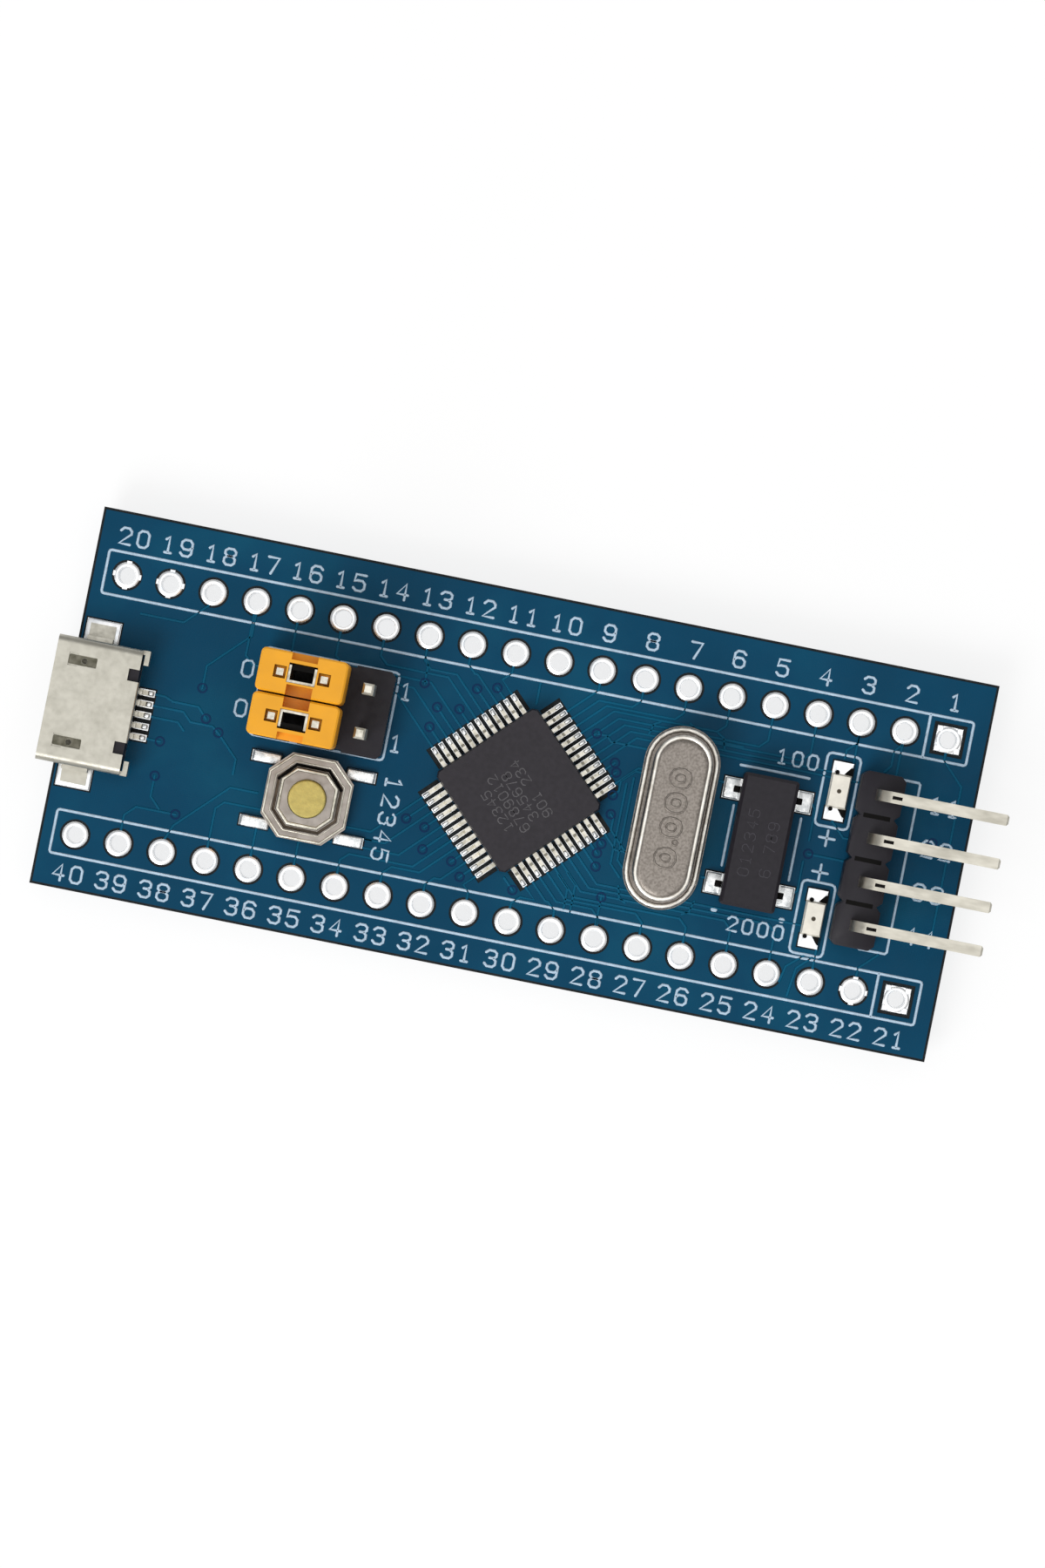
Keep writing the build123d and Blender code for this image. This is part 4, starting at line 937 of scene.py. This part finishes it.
class BOARD_OT_print_top(bpy.types.Operator):
    """Print the lines and plain numbers on the top"""

    bl_idname = "board.print_top"
    bl_label = "Print, top"

    def outlines(self):
        """Frames of the rows, the headers, the lamps and the clock crystal."""
        low, high = ROW_Y - PITCH / 2, ROW_Y + PITCH / 2
        left, right = -SQUARE_X - PITCH / 2, SQUARE_X + PITCH / 2
        divider = SQUARE_X - PITCH / 2
        lines = []
        for row in (1, -1):
            ends = sorted((row * low, row * high))
            lines.append(box_line(left, ends[0], right, ends[1], FRAME_CORNER))
            lines.append(([(divider, ends[0]), (divider, ends[1])], False))
        boot_low, boot_high = node_box("boot_header_block")
        lines.append(box_line(
            boot_low.x - 0.08, boot_low.y + 0.02, boot_high.x + 0.14, boot_high.y + 0.04, 0.2
        ))
        for node in ("power_lamp_base", "user_lamp_base"):
            spot = node_middle(node)
            lines.append(
                box_line(spot.x - 1.0, spot.y - 2.12, spot.x + 0.95, spot.y + 2.12, 0.25)
            )
        clock = node_middle("clock_crystal_body")
        for side, end in ((-1.8, -2.0), (2.15, -2.1)):
            lines.append(([(clock.x + side, 1.5), (clock.x + side, end)], False))
        lines.append(([(clock.x - 1.85, 3.87), (clock.x + 2.15, 3.87)], False))
        block_low, block_high = node_box("debug_header_block")
        back = block_high.x + 0.93
        lines.append((
            [(back - 1.3, block_high.y - 0.13), (back - 0.1, block_high.y - 0.13),
             (back, block_high.y - 0.23), (back, block_low.y + 0.1),
             (back - 0.1, block_low.y), (back - 1.6, block_low.y)], False
        ))
        return lines

    def numbers(self, height):
        """Pin numbers, and the plain numbers beside the parts."""
        lines = []
        first = settings().first_number
        for place, x in enumerate(FAR_ROW):
            lines += number_lines(str(first + place), x, FAR_NUMBERS_Y, height)
            near = str(first + place + len(FAR_ROW))
            lines += number_lines(near, x, NEAR_NUMBERS_Y, height)
        for text, x, y, turn in (
            ("0", -16.25, 3.72, 0), ("0", -16.2, 1.42, 0), ("1", -7.05, 4.2, 0),
            ("1", -7.05, 1.15, 0), ("12345", -6.7, -3.2, -90), ("+", 18.38, 0.7, 0),
            ("+", 18.38, -1.3, 0), ("100", 15.85, 4.82, 0), ("2000", 15.35, -5.2, 0),
        ):
            tall = 1.3 if text == "+" else height * (0.86 if turn == 0 and len(text) > 1 else 1)
            lines += number_lines(text, x, y, tall, turn)
        for number, (low, high) in enumerate(DEBUG_PINS, 1):
            spot = (low.y + high.y) / 2
            lines += number_lines(f"{number}{number}", 24.7, spot + 0.05, height)
        return lines

    def execute(self, context):
        sizes = settings().sizes
        level = BOARD_TOP + sizes.mask_thickness
        mesh = ribbon_mesh(self.outlines(), sizes.print_width, sizes.print_rise, level)
        add_piece("print_lines_top", mesh, "print_ink")
        mesh = ribbon_mesh(
            self.numbers(sizes.digit_height), sizes.print_width, sizes.print_rise * 1.1, level
        )
        add_piece("print_numbers_top", mesh, "print_ink")
        places = ((12.8, -4.6), (16.75, -4.45))
        dots = [([(x - 0.02, y), (x + 0.02, y)], False) for x, y in places]
        mesh = ribbon_mesh(dots, 0.34, sizes.print_rise, level)
        add_piece("print_dots_top", mesh, "print_ink")
        return {"FINISHED"}


class BOARD_OT_print_under(bpy.types.Operator):
    """Print the pin numbers and part outlines on the underside"""

    bl_idname = "board.print_under"
    bl_label = "Print, underside"

    def execute(self, context):
        sizes = settings().sizes
        first = settings().first_number
        lines = []
        low, high = ROW_Y - PITCH / 2, ROW_Y + PITCH / 2
        left, right = -SQUARE_X - PITCH / 2, SQUARE_X + PITCH / 2
        for row in (1, -1):
            ends = sorted((row * low, row * high))
            lines.append(box_line(left, ends[0], right, ends[1], FRAME_CORNER))
        for place, x in enumerate(FAR_ROW):
            for offset, y in ((0, FAR_NUMBERS_Y), (len(FAR_ROW), NEAR_NUMBERS_Y)):
                lines += number_lines(
                    str(first + place + offset), x, y, sizes.digit_height, 0, 1.12, -1
                )
        for node in ("capacitor_bodies", "resistor_bodies"):
            for box_low, box_high in solids_of(node):
                wide = box_high.x - box_low.x > box_high.y - box_low.y
                grow_x, grow_y = (0.65, 0.22) if wide else (0.22, 0.65)
                lines.append(box_line(
                    box_low.x - grow_x, box_low.y - grow_y, box_high.x + grow_x,
                    box_high.y + grow_y, 0.15,
                ))
        spot = node_middle("regulator_body")
        for side in (1, -1):
            y = spot.y + side * 1.75
            lines.append(([(spot.x - 1.0, y), (spot.x + 1.0, y)], False))
        mesh = ribbon_mesh(lines, sizes.print_width, sizes.print_rise, sizes.mask_thickness, -1)
        add_piece("print_under", mesh, "print_ink")
        return {"FINISHED"}


class BOARD_OT_solder(bpy.types.Operator):
    """Solder on the lands of the USB inlet, the switch, the chip and the crystals"""

    bl_idname = "board.solder"
    bl_label = "Solder"

    def execute(self, context):
        rise = settings().sizes.solder_rise
        usb_low, usb_high = node_box("usb_shell")
        switch = node_middle("reset_switch_cover")
        clock = node_middle("clock_crystal_body")
        clock_low, clock_high = node_box("clock_crystal_body")
        # how a land is told apart: a tab's length, and where each part's lands lie along the board
        tab_length, contacts_end, switch_reach, clock_end = 1.5, -20, 3.6, 17.3
        names = ("usb_tab", "usb_contact", "switch", "clock", "clock_notch_shade")
        groups = {name: bmesh.new() for name in names}
        for low, high in PLAIN_LANDS:
            spot = (low + high) / 2
            if spot.x < usb_high.x - 1 and high.x - low.x > tab_length:
                pillow(
                    groups["usb_tab"], (low.x + 0.01, low.y + 0.01, SEAT - BED),
                    (high.x - 0.01, high.y - 0.01, SEAT + 0.14), 0.02, 0.04, 2,
                )
            elif spot.x < contacts_end:
                pillow(
                    groups["usb_contact"], (high.x - 0.45, low.y + 0.03, SEAT - BED),
                    (high.x - 0.02, high.y - 0.03, SEAT + rise), 0.3, 0.06, 2,
                )
            elif abs(spot.x - switch.x) < switch_reach:
                away = 1 if spot.x > switch.x else -1
                edge = switch.x + away * 1.85
                ends = sorted((edge, (high.x if away > 0 else low.x) - away * 0.02))
                pillow(
                    groups["switch"], (ends[0], low.y - 0.05, SEAT - BED),
                    (ends[1], high.y + 0.05, SEAT + rise + 0.1), 0.04, 0.12, 3,
                )
            elif spot.x < clock_end:
                away = 1 if spot.x > clock.x else -1
                body = clock_high.x if away > 0 else clock_low.x
                tip = (high.x if away > 0 else low.x) - away * 0.01
                ends = sorted((body + away * 0.02, tip))
                pillow(
                    groups["clock"], (ends[0], spot.y - 0.62, SEAT - BED),
                    (ends[1], spot.y + 0.62, SEAT + rise + 0.1), 0.06, 0.07, 2,
                )
                # Painted shade: a dark lump in the notch of each C-shaped foot, where the shade
                # falls.
                notch = sorted((body + away * 0.02, body + away * 0.42))
                pillow(
                    groups["clock_notch_shade"], (notch[0], spot.y - 0.2, SEAT + rise),
                    (notch[1], spot.y + 0.2, SEAT + rise + 0.13), 0.05, 0.03, 1,
                )
        for name, bm in groups.items():
            finish = {"clock_notch_shade": "shadow_black", "usb_tab": "tin"}.get(name, "solder")
            add_piece(f"{name}_solder", closed_mesh(bm, 50), finish)
        bm = bmesh.new()
        for side in range(4):
            for number in range(LEADS_PER_SIDE):
                turn = CHIP_TURN + side * math.pi / 2
                across = lead_offset(number)
                pillow(
                    bm, (4.3, across - 0.12, -0.02), (4.78, across + 0.12, 0.17), 0.3, 0.03, 1,
                    turn, (CHIP.x, CHIP.y, SEAT),
                )
        add_piece("chip_solder", closed_mesh(bm, 50), "solder")
        bm = bmesh.new()
        for low, high in UNDER_LANDS:
            pillow(
                bm, (low.x + 0.01, low.y + 0.01, UNDER_SEAT - 0.2),
                (high.x - 0.01, high.y - 0.01, UNDER_SEAT + BED), -0.3, 0.05, 1,
            )
        add_piece("underside_solder", closed_mesh(bm, 50), "solder")
        return {"FINISHED"}


class BOARD_OT_crystal_stamp(bpy.types.Operator):
    """Stamp plain digits into the top of the crystal can"""

    bl_idname = "board.crystal_stamp"
    bl_label = "Crystal stamp"

    def execute(self, context):
        low, high = node_box("main_crystal_can")
        x, y = (low.x + high.x) / 2, (low.y + high.y) / 2
        first, pitch, point_gap = 2.3, 1.42, 0.35
        lines = []
        for place in range(4):
            spot = y + first - pitch * place - (point_gap if place == 3 else 0)
            lines.append(box_line(x - 0.62, spot - 0.56, x + 0.62, spot + 0.56, 0.45))
            lines.append(box_line(x - 0.27, spot - 0.22, x + 0.27, spot + 0.22, 0.18))
        lines.append(box_line(x + 0.25, y - 1.5, x + 0.52, y - 1.23, 0.1))
        mesh = ribbon_mesh(lines, 0.11, 0.05, high.z)
        add_piece("crystal_stamp", mesh, "can_metal")
        return {"FINISHED"}


class BOARD_OT_chip_marks(bpy.types.Operator):
    """Faint plain digits on the chip and the clock crystal"""

    bl_idname = "board.chip_marks"
    bl_label = "Chip marks"

    def execute(self, context):
        top = node_box("microcontroller_body")[1].z
        angle, row_pitch, chip_digit, clock_digit = 135, 0.78, 0.55, 0.62
        turn = Matrix.Rotation(math.radians(angle), 2)
        lines = []
        for row, text in enumerate(("12345", "6789012", "345678", "901 234")):
            spot = CHIP.xy + turn @ Vector((0, 1.15 - row_pitch * row)) + Vector((-0.15, -0.6))
            lines += number_lines(text, spot.x, spot.y, chip_digit, angle, 1.0)
        add_piece(
            "chip_marks", ribbon_mesh(lines, 0.075, 0.006, top), "grey_mark"
        )
        low, high = node_box("clock_crystal_body")
        middle_x, middle_y = (low.x + high.x) / 2, (low.y + high.y) / 2
        lines = number_lines("012345", middle_x - 0.62, middle_y - 0.1, clock_digit, 90, 1.1)
        lines += number_lines("6 789", middle_x + 0.62, middle_y - 0.3, clock_digit, 90, 1.1)
        add_piece(
            "clock_marks", ribbon_mesh(lines, 0.07, 0.005, high.z), "clock_mark"
        )
        return {"FINISHED"}


class BOARD_OT_lamp_details(bpy.types.Operator):
    """The light chip in each lamp, and painted shade: a dark dot and a dark wedge beside each of
    its terminals
    """

    bl_idname = "board.lamp_details"
    bl_label = "Lamp details"

    def execute(self, context):
        dies, terminal_shade = bmesh.new(), bmesh.new()
        for node in ("power_lamp_lens", "user_lamp_lens"):
            low, high = node_box(node)
            x, y = (low.x + high.x) / 2, (low.y + high.y) / 2
            spun(dies, self.dot(0.13, high.z), x, y, 12, False)
            # Painted shade: a dark dot and a dark wedge by each end of the lens, beside the
            # terminal.
            for end, edge in ((1, high.y), (-1, low.y)):
                dot = self.dot(0.13, SEAT + 0.32)
                spun(terminal_shade, dot, x - 0.28, edge + end * 0.12, 12, False)
                corners = [
                    (x + 0.12, edge + end * 0.06), (x + 0.56, edge + end * 0.04),
                    (x + 0.56, edge + end * 0.52), (x + 0.4, edge + end * 0.42),
                ]
                prism(terminal_shade, corners[::end], SEAT + 0.2, SEAT + 0.33)
        add_piece("lamp_dies", closed_mesh(dies), "die_dark")
        add_piece("lamp_terminal_shade", closed_mesh(terminal_shade), "shadow_black")
        return {"FINISHED"}

    def dot(self, radius, level):
        """Profile of a small round spot on a level."""
        return [(0, level + 0.015), (radius, level + 0.01), (radius, level - 0.03),
                (0, level - 0.03)]


class BOARD_OT_usb_latches(bpy.types.Operator):
    """Inlays in the two latch windows of the USB inlet: the latch tabs, darkened with painted shade
    """

    bl_idname = "board.usb_latches"
    bl_label = "USB latches"

    def execute(self, context):
        low, high = node_box("usb_shell")
        y = (low.y + high.y) / 2
        front = low.x
        offset, half_width, recess = 2.36, 0.28, 0.15
        for name, side in (("far", 1), ("near", -1)):
            spot = y + side * offset
            lines = [
                box_line(front + 0.79, spot - half_width, front + 2.41, spot + half_width, 0.06),
                ring_line(front + 1.7, spot, 0.18, 16),
            ]
            mesh = curve_mesh(lines, thickness=0.03)
            level = high.z - recess + BED
            mesh.transform(Matrix.Scale(MM, 4) @ Matrix.Translation((0, 0, level)))
            add_piece(f"usb_latch_{name}", mesh, "latch_shade_metal")
        return {"FINISHED"}


class BOARD_OT_rims(bpy.types.Operator):
    """Painted highlights along the rims of the reset switch and the crystal can, and painted shade
    in the groove between
    """

    bl_idname = "board.rims"
    bl_label = "Rims"

    def octagon(self, spot, half, corner):
        """A closed octagon line of half width about a spot."""
        points = []
        for sx, sy in ((1, -1), (1, 1), (-1, 1), (-1, -1)):
            pair = [(spot.x + sx * half, spot.y + sy * (half - corner)),
                    (spot.x + sx * (half - corner), spot.y + sy * half)]
            points += pair if sx == sy else pair[::-1]
        return points, True

    def capsule(self, low, high, inset, steps=14):
        """A closed line round an upright capsule, drawn in by inset."""
        radius = (high.x - low.x) / 2 - inset
        x = (low.x + high.x) / 2
        points = []
        for y, first in ((high.y - inset - radius, 0), (low.y + inset + radius, math.pi)):
            for step in range(steps + 1):
                turn = first + math.pi * step / steps
                points.append((x + radius * math.cos(turn), y + radius * math.sin(turn)))
        return points, True

    def execute(self, context):
        low, high = node_box("reset_switch_cover")
        spot = (low + high) / 2
        half = (high.x - low.x) / 2
        rim, plate = high.z - 0.2, high.z
        grow = math.tan(math.pi / 8)
        outer, groove = 1.25, 0.65  # cut of the outer corners, and the groove's way in
        # The lead_metal rings are painted highlights, brighter than the cover's own metal, along
        # its outer rim, the groove's edge and the plate's rim; the ring in the groove is painted
        # shade.
        for name, finish, inset, width, rise, level in (
            ("switch_outer_rim_highlight", "lead_metal", 0.1, 0.15, 0.02, rim),
            ("switch_groove", "groove_painted_shade", groove, 0.18, 0.02, rim - 0.25),
            ("switch_groove_edge_highlight", "lead_metal", 0.47, 0.08, 0.02, rim),
            ("switch_plate_rim_highlight", "lead_metal", 0.9, 0.2, 0.02, plate),
        ):
            line = self.octagon(spot, half - inset, outer - inset * (1 - grow))
            add_piece(name, ribbon_mesh([line], width, rise, level), finish)
        corner = outer - groove * (1 - grow)
        reach = half - groove
        shaded = [
            (spot.x - reach, spot.y + reach - corner - 0.1),
            (spot.x - reach + corner, spot.y + reach), (spot.x + reach - corner, spot.y + reach),
            (spot.x + reach, spot.y + reach - corner - 0.1),
        ]
        mesh = ribbon_mesh([(shaded, False)], 0.2, 0.03, rim - 0.24)
        add_piece("switch_groove_shade", mesh, "shadow_black")
        # Painted highlights: bright rings along the can's flange and the edge of its top.
        low, high = node_box("main_crystal_can")
        flange = low.z + 0.22
        line = self.capsule(low, high, 0.16)
        add_piece(
            "can_flange_rim_highlight", ribbon_mesh([line], 0.3, 0.05, flange), "rim_highlight_metal"
        )
        line = self.capsule(low, high, 0.62)
        add_piece(
            "can_top_rim_highlight", ribbon_mesh([line], 0.27, 0.06, high.z - 0.09), "rim_highlight_metal"
        )
        return {"FINISHED"}


class BOARD_OT_debug_block(bpy.types.Operator):
    """Square-celled block of the debug header, with painted shade standing for the slot between its
    cells and a dark strip on each pin
    """

    bl_idname = "board.debug_block"
    bl_label = "Debug header block"

    def execute(self, context):
        low, high = node_box("debug_header_block")
        cells = len(DEBUG_PINS)
        cell = (high.y - low.y) / cells
        cut, depth = 0.28, 0.3
        left, right = [], []
        for number in range(cells):
            start = low.y + number * cell
            for y, inward in ((start, depth), (start + cut, 0), (start + cell - cut, 0),
                              (start + cell, depth)):
                right.append((high.x - inward, y))
                left.append((low.x + inward, y))
        outline = right + left[::-1]
        outline = [p for i, p in enumerate(outline) if p != outline[i - 1]]
        bm = bmesh.new()
        prism(bm, outline, low.z, high.z, 0.04)
        piece = add_piece("debug_block", closed_mesh(bm), "black_plastic")
        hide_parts("debug_header_block")
        # Painted shade: dark strips in the slot between the cells, and a dark strip on the top of
        # each pin.
        slot_shade = bmesh.new()
        for pin_low, pin_high in DEBUG_PINS:
            y = (pin_low.y + pin_high.y) / 2
            pillow(slot_shade, (high.x - 0.7, y - 0.11, pin_high.z - 0.1),
                   (high.x - 0.1, y + 0.11, pin_high.z + 0.008), 0.02, 0.02, 1)
        for number in range(1, cells):
            y = low.y + number * cell
            pillow(slot_shade, (low.x + 0.45, y - 0.13, high.z - 0.1),
                   (high.x - 0.5, y + 0.13, high.z + 0.012), 0.02, 0.01, 1)
        add_piece("debug_block_slot_shade", closed_mesh(slot_shade), "shadow_black")
        return {"FINISHED"}


class BOARD_OT_snap_dome(bpy.types.Operator):
    """Thin spring dome under the reset button"""

    bl_idname = "board.snap_dome"
    bl_label = "Snap dome"

    def execute(self, context):
        low, high = node_box("reset_dome")
        x, y = (low.x + high.x) / 2, (low.y + high.y) / 2
        radius, rise, sheet = (high.x - low.x) / 2, high.z - low.z, 0.06
        steps = 8
        arc = [(step / steps, (step / steps) ** 2) for step in range(steps + 1)]
        outer = [(radius * out, high.z - (rise - sheet) * drop) for out, drop in arc]
        inner = [(reach, z - sheet) for reach, z in reversed(outer)]
        bm = bmesh.new()
        spun(bm, outer + inner, x, y, 32, False)
        piece = add_piece("snap_dome", closed_mesh(bm), "spring_metal")
        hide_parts("reset_dome")
        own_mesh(piece)
        return {"FINISHED"}


class BOARD_OT_cap_shades(bpy.types.Operator):
    """Painted shade: a dark piece standing for the shadowed hollow behind each jumper clip"""

    bl_idname = "board.cap_hollows"
    bl_label = "Cap shades"

    def execute(self, context):
        for name, away in (("upper", 1), ("lower", -1)):
            low, high = node_box(f"jumper_clip_{name}")
            x, y = (low.x + high.x) / 2, (low.y + high.y) / 2
            edge = high.y if away > 0 else low.y
            # Painted shade: a thin dark piece over the clip's outer bar, where the hollow behind it
            # lies in shade.
            ends = sorted((edge - away * 0.27, edge + away * 0.06))
            bm = bmesh.new()
            pillow(bm, (x - 0.62, ends[0], high.z - 0.05), (x + 0.62, ends[1], high.z + 0.03),
                   0.02, 0.01, 1)
            add_piece(f"cap_shade_{name}", closed_mesh(bm), "shadow_black",
                      f"{name}_jumper")
        return {"FINISHED"}


class BOARD_OT_studio(bpy.types.Operator):
    """Pale floor, soft lights and the camera"""

    bl_idname = "board.studio"
    bl_label = "Studio"

    def light(self, name, energy, size, x, y, z):
        """A soft square light aimed at the board, placed in metres."""
        lamp = bpy.data.lights.new(name, "AREA")
        lamp.energy, lamp.size = energy, size
        holder = bpy.data.objects.new(name, lamp)
        holder.location = (x, y, z)
        holder.rotation_euler = (-Vector((x, y, z))).to_track_quat("-Z", "Y").to_euler()
        bpy.context.scene.collection.objects.link(holder)

    def execute(self, context):
        scene = context.scene
        bm = bmesh.new()
        bmesh.ops.create_grid(bm, x_segments=8, y_segments=8, size=1.5)
        bmesh.ops.translate(bm, vec=(0, 0, CAD_LOW.z), verts=bm.verts)
        mesh = bpy.data.meshes.new("floor")
        bm.to_mesh(mesh)
        bm.free()
        paper = Finish("paper", roughness=0.9, emission_strength=0.8)
        paper.shader.inputs["Emission Color"].default_value = WHITE
        paper.colour(paper.noise(60), (0.3, (0.19, 0.19, 0.19)), (0.7, (0.21, 0.21, 0.21)))
        mesh.materials.append(paper.material)
        floor = bpy.data.objects.new("floor", mesh)
        scene.collection.objects.link(floor)
        world = bpy.data.worlds.new("studio")
        world.use_nodes = True
        back = world.node_tree.nodes["Background"]
        back.inputs["Color"].default_value = WHITE
        back.inputs["Strength"].default_value = 0.45
        scene.world = world
        scene.view_settings.view_transform = "Standard"
        self.light("softbox", 1.15, 0.6, 0, 0, 0.7)
        self.light("key", 2.3, 0.35, -0.2, -0.4, 0.5)
        camera = bpy.data.cameras.new("camera")
        camera.lens, camera.sensor_width = LENS, SENSOR
        camera.clip_start, camera.clip_end = 0.01, 10
        holder = bpy.data.objects.new("camera", camera)
        holder.location = CAMERA_PLACE
        holder.rotation_euler = (0, 0, math.radians(CAMERA_ROLL))
        scene.collection.objects.link(holder)
        scene.camera = holder
        return {"FINISHED"}


OPERATORS = (
    BOARD_OT_cad_finishes, BOARD_OT_mask, BOARD_OT_tracks, BOARD_OT_rings, BOARD_OT_print_top,
    BOARD_OT_print_under, BOARD_OT_solder, BOARD_OT_crystal_stamp, BOARD_OT_chip_marks,
    BOARD_OT_lamp_details, BOARD_OT_usb_latches, BOARD_OT_rims, BOARD_OT_debug_block,
    BOARD_OT_snap_dome, BOARD_OT_cap_shades, BOARD_OT_studio,
)


class BOARD_PT_panel(bpy.types.Panel):
    """Sidebar panel that lists the board's settings and operators"""

    bl_idname = "BOARD_PT_panel"
    bl_label = "Microcontroller Board"
    bl_space_type = "VIEW_3D"
    bl_region_type = "UI"
    bl_category = "Board"

    def draw(self, context):
        column = self.layout.column()
        board = context.scene.board
        for group in (board.colours, board.sizes):
            for key in group.bl_rna.properties.keys():
                if key not in ("rna_type", "name"):
                    column.prop(group, key)
        column.prop(board, "first_number")
        for operator in OPERATORS:
            column.operator(operator.bl_idname)


CLASSES = (BoardColours, BoardSizes, BoardSettings, *OPERATORS, BOARD_PT_panel)


def register():
    for cls in CLASSES:
        bpy.utils.register_class(cls)
    bpy.types.Scene.board = PointerProperty(type=BoardSettings)


def unregister():
    del bpy.types.Scene.board
    for cls in reversed(CLASSES):
        bpy.utils.unregister_class(cls)


def main():
    """Register the add-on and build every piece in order."""
    register()
    FINISH.update(make_finishes())
    for operator in OPERATORS:
        _, name = operator.bl_idname.split(".")
        getattr(bpy.ops.board, name)()


if __name__ == "__main__":
    main()
